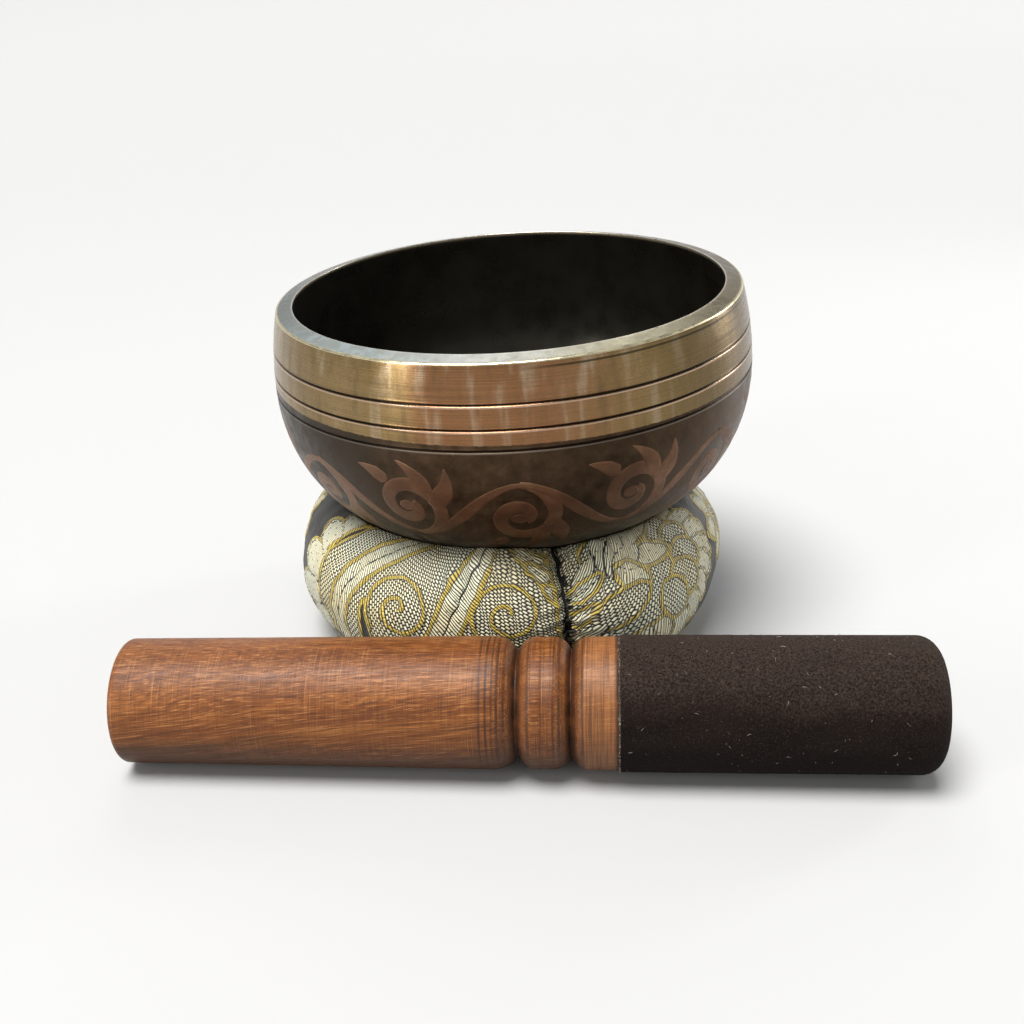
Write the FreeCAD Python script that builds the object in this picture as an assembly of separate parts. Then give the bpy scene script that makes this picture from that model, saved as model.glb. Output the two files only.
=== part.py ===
"""Singing bowl on its ring cushion, with its mallet lying in front.

Millimetres, +Z up, +X to the right along the mallet. The origin is the centre of the ring cushion
on the table that the cushion and the mallet lie on.
"""
import FreeCAD, Part
import math
import os

from FreeCAD import Placement, Rotation, Vector

UP = Vector(0, 0, 1)
RIGHT = Vector(1, 0, 0)
AWAY = Vector(0, 1, 0)

# The bowl: cast bronze, turned on a lathe. Depths are measured down from the rim plane.
BOWL_RADIUS = 60.0              # outside, at the widest
WIDEST_DEPTH = 20.0             # where the upper band ends and the round underside begins
BOWL_DEPTH = 54.5               # rim plane to base
BASE_RADIUS = 32.0              # the flat that the bowl stands on
RIM_RADIUS = 57.6
RIM_INNER_RADIUS = 53.3
RIM_INNER_RISE = 0.6            # the rim's face is coned: its inner edge is above the rim plane
RIM_OUTER_DROP = 0.35           # and its outer edge is below it
WALL = 3.8                      # at the widest
FLOOR = 4.0                     # thickness of the bottom
RIM_EDGE = 0.3                  # chamfers of the rim's two edges
CLEAR_ABOVE = 20.0              # how far the hollow's cutter stands above the rim plane
GROOVE_DEPTHS = (9.0, 14.5, 19.2)
GROOVE_HALF_WIDTH = 0.3
GROOVE_CUT = 0.3

# How the bowl sits in the cushion.
RIM_CENTRE = Vector(1.4, 0.5, 89.0)
LEFT_SIDE_DOWN = 2.2            # degrees
BACK_SIDE_UP = 3.2              # degrees
SEAT_GAP = 0.3                  # between the bowl and the dent that it presses in the cushion

# The ring cushion: a stuffed tube of brocade with its ends sewn together.
RING_RADIUS = 36.0              # to the middle of the tube
TUBE_HALF_WIDTH = 19.25
TUBE_HALF_HEIGHT = 20.6         # before the table flattens the underside
TUBE_CENTRE_HEIGHT = 19.0
COVER_THICKNESS = 0.8

# Sewing thread. Each stitch is a short straight length with round ends, clear of the cloth.
THREAD_RADIUS = 0.3
THREAD_GAP = 0.05
STITCH_LENGTH = 3.2
STITCH_PITCH = 4.0
JOINT_BEARING = -76.0           # where the ends of the tube meet; -90 is the front
JOINT_SPANS = ((-48.0, 8.0), (172.0, 194.0), (216.0, 230.0))   # outer wall, then the hole's wall
CLOSING_ANGLE = 205.0           # round the tube from its outermost point, just under the hole's waist

# The mallet: one turned stick, with suede round its striking end. Stations run along its axis from
# the middle of its length, the suede end on the right.
MALLET_LENGTH = 175.6
HANDLE_END_RADIUS = 13.6
HANDLE_RADIUS = 14.3            # where the handle meets the first groove
COLLAR_RADIUS = 14.2
BEAD_RADIUS = 14.0
GROOVE_BOTTOM_RADIUS = 11.3
HANDLE_STOP = -6.8
FIRST_GROOVE = -1.0
BEAD_TOP = 4.8
SECOND_GROOVE = 10.6
COLLAR_START = 13.6
SLEEVE_START = 20.5
SLEEVE_RADIUS = 14.6
SUEDE = 1.6
SUEDE_CUT_EDGE = 0.4
HANDLE_END_ROUND = 1.4
CORE_SHOULDER = 3.0             # rounding of the wood under the suede's far edge
LIP_RADIUS = 8.5                # the suede turned over the end stops here
SUEDE_SEAM = 0.4                # gap where the edges of the suede meet
SUEDE_SEAM_ANGLE = -25.0        # below the side that faces the bowl
MALLET_CENTRE = Vector(2.1, -74.1, 0)
MALLET_TURN = -4.7              # degrees; the suede end lies nearer the front


def line(start, end):
    return Part.LineSegment(start, end).toShape()


def arc(start, middle, end):
    return Part.Arc(start, middle, end).toShape()


def spin(edges, axis):
    """Turn a closed outline of edges once round an axis through the origin."""
    face = Part.Face(Part.Wire(edges))
    return face.revolve(Vector(0, 0, 0), axis, 360)


# ---------------------------------------------------------------- bowl

def on_bowl(radius, depth):
    return Vector(radius, 0, -depth)


def rim_depth(radius):
    """Depth of the rim's coned face, which falls from its inner to its outer edge."""
    share = (radius - RIM_INNER_RADIUS) / (RIM_RADIUS - RIM_INNER_RADIUS)
    return share * (RIM_INNER_RISE + RIM_OUTER_DROP) - RIM_INNER_RISE


def band_radius(depth, lip, widest):
    """Radius of the gently swelling band between the lip, a point, and the widest line."""
    rise = WIDEST_DEPTH + lip.z
    swell = widest - lip.x
    circle = (rise ** 2 + swell ** 2) / (2 * swell)
    return widest - circle + math.sqrt(circle ** 2 - (WIDEST_DEPTH - depth) ** 2)


def bowl_form(top, lip, widest, base):
    """A solid with a swelling band below its lip, a round underside and a flat base.

    The top is the points from the axis to the chamfer above the lip. The underside is a quarter of
    an ellipse that meets the band and the base without a corner.
    """
    half_way = (WIDEST_DEPTH - lip.z) / 2
    waist = on_bowl(widest, WIDEST_DEPTH)
    foot = on_bowl(BASE_RADIUS, base)
    underside = Part.Ellipse(foot, waist, on_bowl(BASE_RADIUS, WIDEST_DEPTH))
    across = top + [lip]
    edges = [line(across[i], across[i + 1]) for i in range(len(top))]
    edges += [
        arc(lip, on_bowl(band_radius(half_way, lip, widest), half_way), waist),
        underside.toShape(0, math.pi / 2),
        line(foot, on_bowl(0, base)),
        line(on_bowl(0, base), top[0]),
    ]
    return spin(edges, UP)


def outer_lip(margin):
    return on_bowl(RIM_RADIUS + margin, rim_depth(RIM_RADIUS) + RIM_EDGE)


def bowl_outside(margin):
    """The bowl as if it were solid, grown by a margin on every side but the rim."""
    mouth = RIM_RADIUS + margin - RIM_EDGE
    top = [on_bowl(0, rim_depth(0)), on_bowl(mouth, rim_depth(mouth))]
    return bowl_form(top, outer_lip(margin), BOWL_RADIUS + margin, BOWL_DEPTH + margin)


def bowl_hollow():
    mouth = RIM_INNER_RADIUS + RIM_EDGE
    top = [on_bowl(0, -CLEAR_ABOVE), on_bowl(mouth, -CLEAR_ABOVE), on_bowl(mouth, rim_depth(mouth))]
    lip = on_bowl(RIM_INNER_RADIUS, rim_depth(RIM_INNER_RADIUS) + RIM_EDGE)
    return bowl_form(top, lip, BOWL_RADIUS - WALL, BOWL_DEPTH - FLOOR)


def groove_cutter(depth):
    surface = band_radius(depth, outer_lip(0), BOWL_RADIUS)
    clear = surface + GROOVE_CUT
    corners = [
        on_bowl(surface - GROOVE_CUT, depth),
        on_bowl(clear, depth - 2 * GROOVE_HALF_WIDTH),
        on_bowl(clear, depth + 2 * GROOVE_HALF_WIDTH),
    ]
    edges = [line(corners[i], corners[(i + 1) % 3]) for i in range(3)]
    return spin(edges, UP)


def seated(shape):
    """Move a shape from the bowl's own frame, origin at the rim's centre, to its place."""
    tilt = Rotation(AWAY, -LEFT_SIDE_DOWN).multiply(Rotation(RIGHT, BACK_SIDE_UP))
    moved = shape.copy()
    moved.Placement = Placement(RIM_CENTRE, tilt)
    return moved


def bowl():
    cutters = [bowl_hollow()] + [groove_cutter(depth) for depth in GROOVE_DEPTHS]
    return seated(bowl_outside(0).cut(cutters))


# ---------------------------------------------------------------- ring cushion

def ring(inset):
    """The stuffed ring, flattened by the table and dented by the bowl, made smaller by an inset."""
    centre = Vector(RING_RADIUS, 0, TUBE_CENTRE_HEIGHT)
    top = centre + UP * (TUBE_HALF_HEIGHT - inset)
    side = centre + RIGHT * (TUBE_HALF_WIDTH - inset)
    section = [Part.Ellipse(top, side, centre).toShape()]
    reach = RING_RADIUS + TUBE_HALF_WIDTH
    below_table = Part.makeCylinder(2 * reach, reach, Vector(0, 0, inset - reach))
    dent = seated(bowl_outside(SEAT_GAP + inset))
    return spin(section, UP).cut([below_table, dent])


def on_ring(bearing, angle, lift):
    """A point on the ring's outside, with the directions out of, along and round the tube there."""
    bearing = math.radians(bearing)
    angle = math.radians(angle)
    outward = Vector(math.cos(bearing), math.sin(bearing), 0)
    along = UP.cross(outward)
    point = outward * (RING_RADIUS + TUBE_HALF_WIDTH * math.cos(angle))
    point += UP * (TUBE_CENTRE_HEIGHT + TUBE_HALF_HEIGHT * math.sin(angle))
    normal = outward * (TUBE_HALF_HEIGHT * math.cos(angle))
    normal += UP * (TUBE_HALF_WIDTH * math.sin(angle))
    normal.normalize()
    return point + normal * lift, normal, along, along.cross(normal)


def stitch(middle, direction):
    """One stitch: a length of thread with round ends."""
    direction = Vector(direction).normalize()
    straight = STITCH_LENGTH - 2 * THREAD_RADIUS
    start = middle - direction * (straight / 2)
    body = Part.makeCylinder(THREAD_RADIUS, straight, start, direction)
    ends = [Part.makeSphere(THREAD_RADIUS, start),
            Part.makeSphere(THREAD_RADIUS, start + direction * straight)]
    return body.fuse(ends).removeSplitter()


def chord_lift(radius_of_curve):
    """How far a straight stitch stands off a round surface so that its middle just clears it."""
    return THREAD_RADIUS + THREAD_GAP + STITCH_LENGTH ** 2 / (8 * radius_of_curve)


def joint_stitches():
    """Stitches across the seam where the ends of the tube meet, left out under the bowl."""
    stitches = []
    for first, last in JOINT_SPANS:
        length = math.radians(last - first) * TUBE_HALF_HEIGHT
        count = round(length / STITCH_PITCH)
        for i in range(count + 1):
            angle = first + (last - first) * i / count
            point, _, along, _ = on_ring(JOINT_BEARING, angle, chord_lift(TUBE_HALF_WIDTH))
            stitches.append(stitch(point, along))
    return Part.makeCompound(stitches)


def closing_stitches():
    """Slanted stitches round the wall of the hole, which close the tube along its length."""
    waist = RING_RADIUS + TUBE_HALF_WIDTH * math.cos(math.radians(CLOSING_ANGLE))
    count = round(2 * math.pi * waist / STITCH_PITCH)
    step = 360.0 / count
    stitches = []
    for i in range(count):
        bearing = JOINT_BEARING + step * (i + 0.5)
        point, _, along, around = on_ring(bearing, CLOSING_ANGLE, chord_lift(TUBE_HALF_WIDTH))
        stitches.append(stitch(point, around + along * 0.6))
    return Part.makeCompound(stitches)


# ---------------------------------------------------------------- mallet

def on_mallet(station, radius):
    return Vector(station, 0, radius)


def mallet_stick():
    left = -MALLET_LENGTH / 2
    right = MALLET_LENGTH / 2 - SUEDE
    core = SLEEVE_RADIUS - SUEDE
    corner = HANDLE_END_ROUND * (1 - math.sqrt(0.5))
    shoulder = CORE_SHOULDER * (1 - math.sqrt(0.5))
    handle_stop = on_mallet(HANDLE_STOP, HANDLE_RADIUS)
    first_groove = on_mallet(FIRST_GROOVE, GROOVE_BOTTOM_RADIUS)
    second_groove = on_mallet(SECOND_GROOVE, GROOVE_BOTTOM_RADIUS)
    collar = on_mallet(COLLAR_START, COLLAR_RADIUS)
    slope = (HANDLE_RADIUS - GROOVE_BOTTOM_RADIUS) * 0.3
    edges = [
        line(on_mallet(left, 0), on_mallet(left, HANDLE_END_RADIUS - HANDLE_END_ROUND)),
        arc(on_mallet(left, HANDLE_END_RADIUS - HANDLE_END_ROUND),
            on_mallet(left + corner, HANDLE_END_RADIUS - corner),
            on_mallet(left + HANDLE_END_ROUND, HANDLE_END_RADIUS)),
        line(on_mallet(left + HANDLE_END_ROUND, HANDLE_END_RADIUS), handle_stop),
        arc(handle_stop,
            on_mallet((HANDLE_STOP + FIRST_GROOVE) / 2 + slope / 2, HANDLE_RADIUS - slope),
            first_groove),
        arc(first_groove, on_mallet(BEAD_TOP, BEAD_RADIUS), second_groove),
        arc(second_groove,
            on_mallet((SECOND_GROOVE + COLLAR_START) / 2 - slope / 3, COLLAR_RADIUS - slope),
            collar),
        line(collar, on_mallet(SLEEVE_START, COLLAR_RADIUS)),
        line(on_mallet(SLEEVE_START, COLLAR_RADIUS), on_mallet(SLEEVE_START, core)),
        line(on_mallet(SLEEVE_START, core), on_mallet(right - CORE_SHOULDER, core)),
        arc(on_mallet(right - CORE_SHOULDER, core), on_mallet(right - shoulder, core - shoulder),
            on_mallet(right, core - CORE_SHOULDER)),
        line(on_mallet(right, core - CORE_SHOULDER), on_mallet(right, 0)),
        line(on_mallet(right, 0), on_mallet(left, 0)),
    ]
    return spin(edges, RIGHT)


def suede_sleeve():
    right = MALLET_LENGTH / 2
    wood_end = right - SUEDE
    core = SLEEVE_RADIUS - SUEDE
    bend = CORE_SHOULDER + SUEDE
    bend_drop = bend * (1 - math.sqrt(0.5))
    wood_drop = CORE_SHOULDER * (1 - math.sqrt(0.5))
    edge_top = on_mallet(SLEEVE_START + SUEDE_CUT_EDGE, SLEEVE_RADIUS)
    edge_side = on_mallet(SLEEVE_START, SLEEVE_RADIUS - SUEDE_CUT_EDGE)
    edges = [
        line(on_mallet(SLEEVE_START, core), edge_side),
        line(edge_side, edge_top),
        line(edge_top, on_mallet(right - bend, SLEEVE_RADIUS)),
        arc(on_mallet(right - bend, SLEEVE_RADIUS),
            on_mallet(right - bend_drop, SLEEVE_RADIUS - bend_drop),
            on_mallet(right, SLEEVE_RADIUS - bend)),
        line(on_mallet(right, SLEEVE_RADIUS - bend), on_mallet(right, LIP_RADIUS)),
        line(on_mallet(right, LIP_RADIUS), on_mallet(wood_end, LIP_RADIUS)),
        line(on_mallet(wood_end, LIP_RADIUS), on_mallet(wood_end, core - CORE_SHOULDER)),
        arc(on_mallet(wood_end, core - CORE_SHOULDER),
            on_mallet(wood_end - wood_drop, core - wood_drop),
            on_mallet(wood_end - CORE_SHOULDER, core)),
        line(on_mallet(wood_end - CORE_SHOULDER, core), on_mallet(SLEEVE_START, core)),
    ]
    seam = Part.makeBox(MALLET_LENGTH, 2 * SLEEVE_RADIUS, SUEDE_SEAM, Vector(0, 0, -SUEDE_SEAM / 2))
    seam.rotate(Vector(0, 0, 0), RIGHT, SUEDE_SEAM_ANGLE)
    return spin(edges, RIGHT).cut(seam)


def lying(shape):
    """Lay a shape of the mallet on the table, touching at the handle's end and the sleeve's edge."""
    drop = SLEEVE_RADIUS - HANDLE_END_RADIUS
    handle_touch = HANDLE_END_ROUND - MALLET_LENGTH / 2
    sleeve_touch = SLEEVE_START + SUEDE_CUT_EDGE
    lean = math.degrees(math.asin(drop / (sleeve_touch - handle_touch)))
    turn = Rotation(UP, MALLET_TURN).multiply(Rotation(AWAY, -lean))
    touch = turn.multVec(on_mallet(sleeve_touch, -SLEEVE_RADIUS))
    moved = shape.copy()
    moved.Placement = Placement(MALLET_CENTRE - UP * touch.z, turn)
    return moved


# ---------------------------------------------------------------- every piece

def pieces():
    outside = ring(0)
    return {
        "bowl": bowl(),
        "cushion_cover": outside.cut(ring(COVER_THICKNESS)),
        "cushion_stuffing": ring(COVER_THICKNESS),
        "cushion_joint_stitches": joint_stitches(),
        "cushion_closing_stitches": closing_stitches(),
        "mallet_stick": lying(mallet_stick()),
        "mallet_suede_sleeve": lying(suede_sleeve()),
    }


os.makedirs("parts", exist_ok=True)
for name, shape in pieces().items():
    box = shape.BoundBox
    print(f"{name}: {len(shape.Solids)} solid(s), valid {shape.isValid()}, "
          f"{shape.Volume / 1000:.2f} cm3, x {box.XMin:.2f}..{box.XMax:.2f}, "
          f"y {box.YMin:.2f}..{box.YMax:.2f}, z {box.ZMin:.2f}..{box.ZMax:.2f}")
    shape.exportStep(f"parts/{name}.step")
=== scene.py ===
"""Looks of a small bronze singing bowl on a stuffed brocade ring, with its mallet in front.

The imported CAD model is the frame. Each piece below rides on a CAD body and, but for the bowl's
ornament and the suede's lint, stands for a CAD node and lies where that node lies. Lengths are
millimetres in the code, and metres in Blender.
"""
import math

import bpy
import numpy as np
from mathutils import Matrix, Vector


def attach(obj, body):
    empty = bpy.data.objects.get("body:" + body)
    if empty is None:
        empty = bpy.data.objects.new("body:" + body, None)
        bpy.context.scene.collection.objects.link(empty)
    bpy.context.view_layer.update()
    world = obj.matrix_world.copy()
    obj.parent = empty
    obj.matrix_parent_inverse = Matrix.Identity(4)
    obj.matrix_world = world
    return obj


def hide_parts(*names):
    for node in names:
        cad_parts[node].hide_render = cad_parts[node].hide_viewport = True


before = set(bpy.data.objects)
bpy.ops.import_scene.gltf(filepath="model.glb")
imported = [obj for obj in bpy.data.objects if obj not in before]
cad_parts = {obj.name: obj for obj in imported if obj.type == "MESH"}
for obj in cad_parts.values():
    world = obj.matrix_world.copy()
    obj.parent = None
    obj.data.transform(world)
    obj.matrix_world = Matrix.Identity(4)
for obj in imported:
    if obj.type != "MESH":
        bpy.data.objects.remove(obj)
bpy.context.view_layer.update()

MM = 0.001
SEED = 7

# How the bowl leans in its cushion, and how the mallet is turned and tipped, in degrees.
BOWL_LEFT_DOWN = 2.2
BOWL_BACK_UP = 3.2
MALLET_TURN = -4.7
MALLET_LEAN = 0.534

# The bowl's turned outline. Depths run down from the rim plane.
BOWL_RADIUS = 60.0
WIDEST_DEPTH = 20.0
BOWL_DEPTH = 54.5
BASE_RADIUS = 32.0
RIM_RADIUS = 57.6
RIM_INNER_RADIUS = 53.3
RIM_INNER_RISE = 0.6            # the rim's face is coned: its inner edge is above the rim plane
RIM_OUTER_DROP = 0.35           # and its outer edge is below it
WALL = 3.8
FLOOR = 4.0
RIM_EDGE = 0.3
GROOVE_DEPTHS = (9.0, 14.5, 19.2)
GROOVE_HALF_WIDTH = 0.34
GROOVE_CUT = 0.34
GROOVE_LIP = 0.05               # height of the ridge thrown up on both sides of a groove
PATINA_DEPTH = 17.9             # the bright band ends here, on the average


# ---------------------------------------------------------------- node materials

class Paint:
    """One node material. Values that vary over the surface are sockets; the rest are constants."""

    def __init__(self, name, **constants):
        self.material = bpy.data.materials.new(name)
        self.material.use_nodes = True
        self.tree = self.material.node_tree
        self.shader = self.tree.nodes["Principled BSDF"]
        for socket, value in constants.items():
            self.put(value, self.shader.inputs[socket.replace("_", " ")])

    def put(self, value, socket):
        if isinstance(value, bpy.types.NodeSocket):
            self.tree.links.new(value, socket)
        elif socket.type == "RGBA":
            socket.default_value = (*value, 1.0)
        else:
            socket.default_value = value

    def node(self, kind, inputs=(), **settings):
        node = self.tree.nodes.new("ShaderNode" + kind)
        for name, value in settings.items():
            setattr(node, name, value)
        for socket, value in dict(inputs).items():
            self.put(value, node.inputs[socket])
        return node

    def number(self, name):
        return self.node("Attribute", attribute_name=name).outputs["Fac"]

    def vector(self, name):
        return self.node("Attribute", attribute_name=name).outputs["Vector"]

    def chart(self, name):
        """The u and v of a UV map, in millimetres of surface."""
        uv = self.node("UVMap", uv_map=name).outputs["UV"]
        parts = self.node("SeparateXYZ", {0: uv})
        return parts.outputs[0], parts.outputs[1]

    def join(self, x=0.0, y=0.0, z=0.0):
        return self.node("CombineXYZ", {0: x, 1: y, 2: z}).outputs[0]

    def split(self, vector):
        return self.node("SeparateXYZ", {0: vector}).outputs[:]

    def calc(self, operation, a, b=0.0):
        return self.node("Math", {0: a, 1: b}, operation=operation).outputs[0]

    def plus(self, a, b):
        return self.calc("ADD", a, b)

    def minus(self, a, b):
        return self.calc("SUBTRACT", a, b)

    def times(self, a, b):
        return self.calc("MULTIPLY", a, b)

    def gap(self, value, place):
        """How far a value is from a place, either way."""
        return self.calc("ABSOLUTE", self.minus(value, place))

    def span(self, value, low, high, first=0.0, last=1.0):
        """Value from low to high becomes first to last, smoothly, and stays there beyond."""
        inputs = {0: value, 1: low, 2: high, 3: first, 4: last}
        return self.node("MapRange", inputs, interpolation_type="SMOOTHSTEP").outputs[0]

    def noise(self, vector, scale, detail=3.0, roughness=0.5, distortion=0.0):
        inputs = {"Vector": vector, "Scale": scale, "Detail": detail, "Roughness": roughness,
                  "Distortion": distortion}
        return self.node("TexNoise", inputs).outputs["Fac"]

    def stretched(self, vector, x, y, z):
        return self.node("VectorMath", {0: vector, 1: (x, y, z)}, operation="MULTIPLY").outputs[0]

    def specks(self, vector, scale, size):
        """1 in round specks, 0 between them."""
        cells = self.node("TexVoronoi", {"Vector": vector, "Scale": scale})
        return self.span(cells.outputs["Distance"], size, size * 0.5)

    def mix(self, share, a, b):
        node = self.node("Mix", data_type="RGBA")
        self.put(share, node.inputs[0])
        self.put(a, node.inputs[6])
        self.put(b, node.inputs[7])
        return node.outputs[2]

    def over(self, colour, tone, value, low, high, share):
        """A tone laid over a colour: none of it where value is low, a share of it where high."""
        return self.mix(self.span(value, low, high, 0.0, share), colour, tone)

    def blend(self, share, a, b):
        return self.plus(a, self.times(share, self.minus(b, a)))

    def ramp(self, share, *stops):
        node = self.node("ValToRGB", {0: share})
        ramp = node.color_ramp
        while len(ramp.elements) < len(stops):
            ramp.elements.new(0.5)
        for element, (place, colour) in zip(ramp.elements, stops):
            element.position = place
            element.color = (*colour, 1.0)
        return node.outputs[0]

    def facing(self, place):
        """The bearing of a place in its piece's own axes, in radians from +X round by the front."""
        x, y, _ = self.split(place)
        return self.calc("ARCTAN2", self.times(y, -1.0), x)

    def bump(self, height, distance, normal=None):
        """Height from 0 to 1 stands for a real distance in metres."""
        inputs = {"Height": height, "Distance": distance, "Strength": 1.0}
        if normal is not None:
            inputs["Normal"] = normal
        return self.node("Bump", inputs).outputs[0]

    def finish(self, colour, roughness, normal=None):
        self.put(colour, self.shader.inputs["Base Color"])
        self.put(roughness, self.shader.inputs["Roughness"])
        if normal is not None:
            self.put(normal, self.shader.inputs["Normal"])
        return self.material


# ---------------------------------------------------------------- mesh helpers

def make_piece(name, points, faces, place_matrix, materials, face_slots=None):
    """A smooth-shaded mesh. Points are an array in the piece's own millimetres, kept as 'place'."""
    mesh = bpy.data.meshes.new(name)
    points = np.asarray(points, float)
    turned = points @ np.array(place_matrix.to_3x3()).T + np.array(place_matrix.translation)
    mesh.from_pydata((turned * MM).tolist(), [], faces)
    place = mesh.attributes.new("place", "FLOAT_VECTOR", "POINT")
    place.data.foreach_set("vector", points.astype(np.float32).ravel())
    for material in materials:
        mesh.materials.append(material)
    if face_slots is not None:
        mesh.polygons.foreach_set("material_index", np.asarray(face_slots, np.int32))
    mesh.polygons.foreach_set("use_smooth", [True] * len(mesh.polygons))
    mesh.update()
    piece = bpy.data.objects.new(name, mesh)
    bpy.context.scene.collection.objects.link(piece)
    return piece


def add_number(piece, name, values):
    attribute = piece.data.attributes.new(name, "FLOAT", "POINT")
    attribute.data.foreach_set("value", np.asarray(values, np.float32))


def add_chart(piece, name, corner_uv):
    layer = piece.data.uv_layers.new(name=name)
    layer.data.foreach_set("uv", np.asarray(corner_uv, np.float32).ravel())


def settle(piece, body, slot, *nodes):
    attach(piece, body)
    if nodes:
        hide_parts(*nodes)


def arc_lengths(outline):
    steps = np.hypot(*np.diff(outline, axis=0).T)
    return np.concatenate([[0.0], np.cumsum(steps)])


def spun(outline, steps):
    """Turn an outline of (radius, height) once round the Z axis, from axis to axis.

    Returns points, faces, each face's outline step, and a UV corner list of (mm round, mm along).
    """
    radius, height = outline.T
    rings = len(outline)
    angles = np.arange(steps) * 2 * math.pi / steps
    inner = slice(1, rings - 1)
    ring_points = np.stack([
        np.outer(radius[inner], np.cos(angles)),
        np.outer(radius[inner], np.sin(angles)),
        np.repeat(height[inner, None], steps, axis=1)], axis=-1).reshape(-1, 3)
    points = np.vstack([ring_points, [[0, 0, height[0]]], [[0, 0, height[-1]]]])
    first_pole = len(ring_points)
    last_pole = first_pole + 1
    along = arc_lengths(outline)
    round_scale = radius.max() * 2 * math.pi / steps
    faces, face_steps, corners = [], [], []
    for j in range(rings - 1):
        for i in range(steps):
            k = (i + 1) % steps
            here, there = (j - 1) * steps, j * steps
            u0, u1, v0, v1 = i * round_scale, (i + 1) * round_scale, along[j], along[j + 1]
            if j == 0:
                faces.append((first_pole, there + i, there + k))
                corners += [(u0, v0), (u0, v1), (u1, v1)]
            elif j == rings - 2:
                faces.append((here + i, last_pole, here + k))
                corners += [(u0, v0), (u0, v1), (u1, v0)]
            else:
                faces.append((here + i, there + i, there + k, here + k))
                corners += [(u0, v0), (u0, v1), (u1, v1), (u1, v0)]
            face_steps.append(j)
    return points, faces, np.array(face_steps), corners


def steps_between(start, end, count):
    """Points from start up to, but not including, end."""
    share = np.arange(count)[:, None] / count
    return np.asarray(start, float) + share * (np.asarray(end, float) - np.asarray(start, float))


def local_box(node, turn):
    """Lowest and highest corner of a CAD node in axes turned from the frame's, in millimetres."""
    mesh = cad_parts[node].data
    points = np.zeros(len(mesh.vertices) * 3)
    mesh.vertices.foreach_get("co", points)
    points = points.reshape(-1, 3) @ np.array(turn) / MM
    return points.min(0), points.max(0)


# ---------------------------------------------------------------- bowl

def bowl_place():
    """The bowl's own axes: origin at the rim's centre, Z up its axis. Returns a matrix in mm."""
    tilt = (Matrix.Rotation(math.radians(-BOWL_LEFT_DOWN), 3, "Y")
            @ Matrix.Rotation(math.radians(BOWL_BACK_UP), 3, "X"))
    low, high = local_box("bowl", tilt)
    rim_plane = high[2] - rim_height(RIM_INNER_RADIUS + RIM_EDGE)
    rim_centre = tilt @ Vector(((low[0] + high[0]) / 2, (low[1] + high[1]) / 2, rim_plane))
    return Matrix.Translation(rim_centre) @ tilt.to_4x4()


def rim_height(radius):
    """Height of the rim's coned face above the rim plane."""
    share = (radius - RIM_INNER_RADIUS) / (RIM_RADIUS - RIM_INNER_RADIUS)
    return RIM_INNER_RISE - share * (RIM_INNER_RISE + RIM_OUTER_DROP)


INNER_LIP_DEPTH = RIM_EDGE - RIM_INNER_RISE
OUTER_LIP_DEPTH = RIM_EDGE + RIM_OUTER_DROP


def band_radius(depth, lip_radius, lip_depth, widest):
    """Radius of the gently swelling band between the lip and the widest line."""
    rise = WIDEST_DEPTH - lip_depth
    swell = widest - lip_radius
    circle = (rise ** 2 + swell ** 2) / (2 * swell)
    return widest - circle + np.sqrt(circle ** 2 - (WIDEST_DEPTH - depth) ** 2)


def underside(widest, base, count):
    """A quarter of an ellipse from the widest line to the base, as (radius, height) points."""
    turn = np.linspace(0, math.pi / 2, count)
    radius = BASE_RADIUS + (widest - BASE_RADIUS) * np.cos(turn)
    return np.stack([radius, -(WIDEST_DEPTH + (base - WIDEST_DEPTH) * np.sin(turn))], axis=1)


def bowl_band():
    """The band with its three cut grooves, from under the rim's edge to the widest line."""
    coarse = np.linspace(OUTER_LIP_DEPTH, WIDEST_DEPTH, 40)
    near = [np.linspace(-2.0, 2.0, 17) * GROOVE_HALF_WIDTH + depth for depth in GROOVE_DEPTHS]
    depths = np.unique(np.round(np.concatenate([coarse, *near]), 3))
    depths = depths[(depths >= OUTER_LIP_DEPTH) & (depths < WIDEST_DEPTH)]
    radius = band_radius(depths, RIM_RADIUS, OUTER_LIP_DEPTH, BOWL_RADIUS)
    for groove in GROOVE_DEPTHS:
        away = np.abs(depths - groove) / GROOVE_HALF_WIDTH
        radius -= GROOVE_CUT * np.clip(1 - away, 0, 1)
        radius += GROOVE_LIP * np.exp(-((away - 1.4) / 0.35) ** 2)
    return np.stack([radius, -depths], axis=1)


def bowl_outline():
    """Inside from the middle up, over the rim, and down the outside to the middle of the base."""
    widest_inside = BOWL_RADIUS - WALL
    inside_floor = BOWL_DEPTH - FLOOR
    inside_depths = np.linspace(WIDEST_DEPTH, INNER_LIP_DEPTH, 14)[1:]
    inside_radius = band_radius(inside_depths, RIM_INNER_RADIUS, INNER_LIP_DEPTH, widest_inside)
    inside_band = np.stack([inside_radius, -inside_depths], axis=1)
    edge = RIM_EDGE * 0.3
    face = np.linspace(RIM_INNER_RADIUS + RIM_EDGE, RIM_RADIUS - RIM_EDGE, 9)
    parts = {
        "inside": [
            steps_between((0, -inside_floor), (BASE_RADIUS, -inside_floor), 10),
            underside(widest_inside, inside_floor, 30)[::-1],
            inside_band],
        "rim": [
            [(RIM_INNER_RADIUS + edge, rim_height(RIM_INNER_RADIUS) - edge)],
            np.stack([face, rim_height(face)], axis=1),
            [(RIM_RADIUS - edge, rim_height(RIM_RADIUS) - edge)]],
        "outside": [
            bowl_band(),
            underside(BOWL_RADIUS, BOWL_DEPTH, 44),
            steps_between((BASE_RADIUS, -BOWL_DEPTH), (0, -BOWL_DEPTH), 8)[1:],
            [(0, -BOWL_DEPTH)]],
    }
    outline = np.vstack([np.vstack(p) for p in parts.values()])
    counts = [sum(len(part) for part in p) for p in parts.values()]
    return outline, counts[0] - 1, counts[0] + counts[1]


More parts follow.
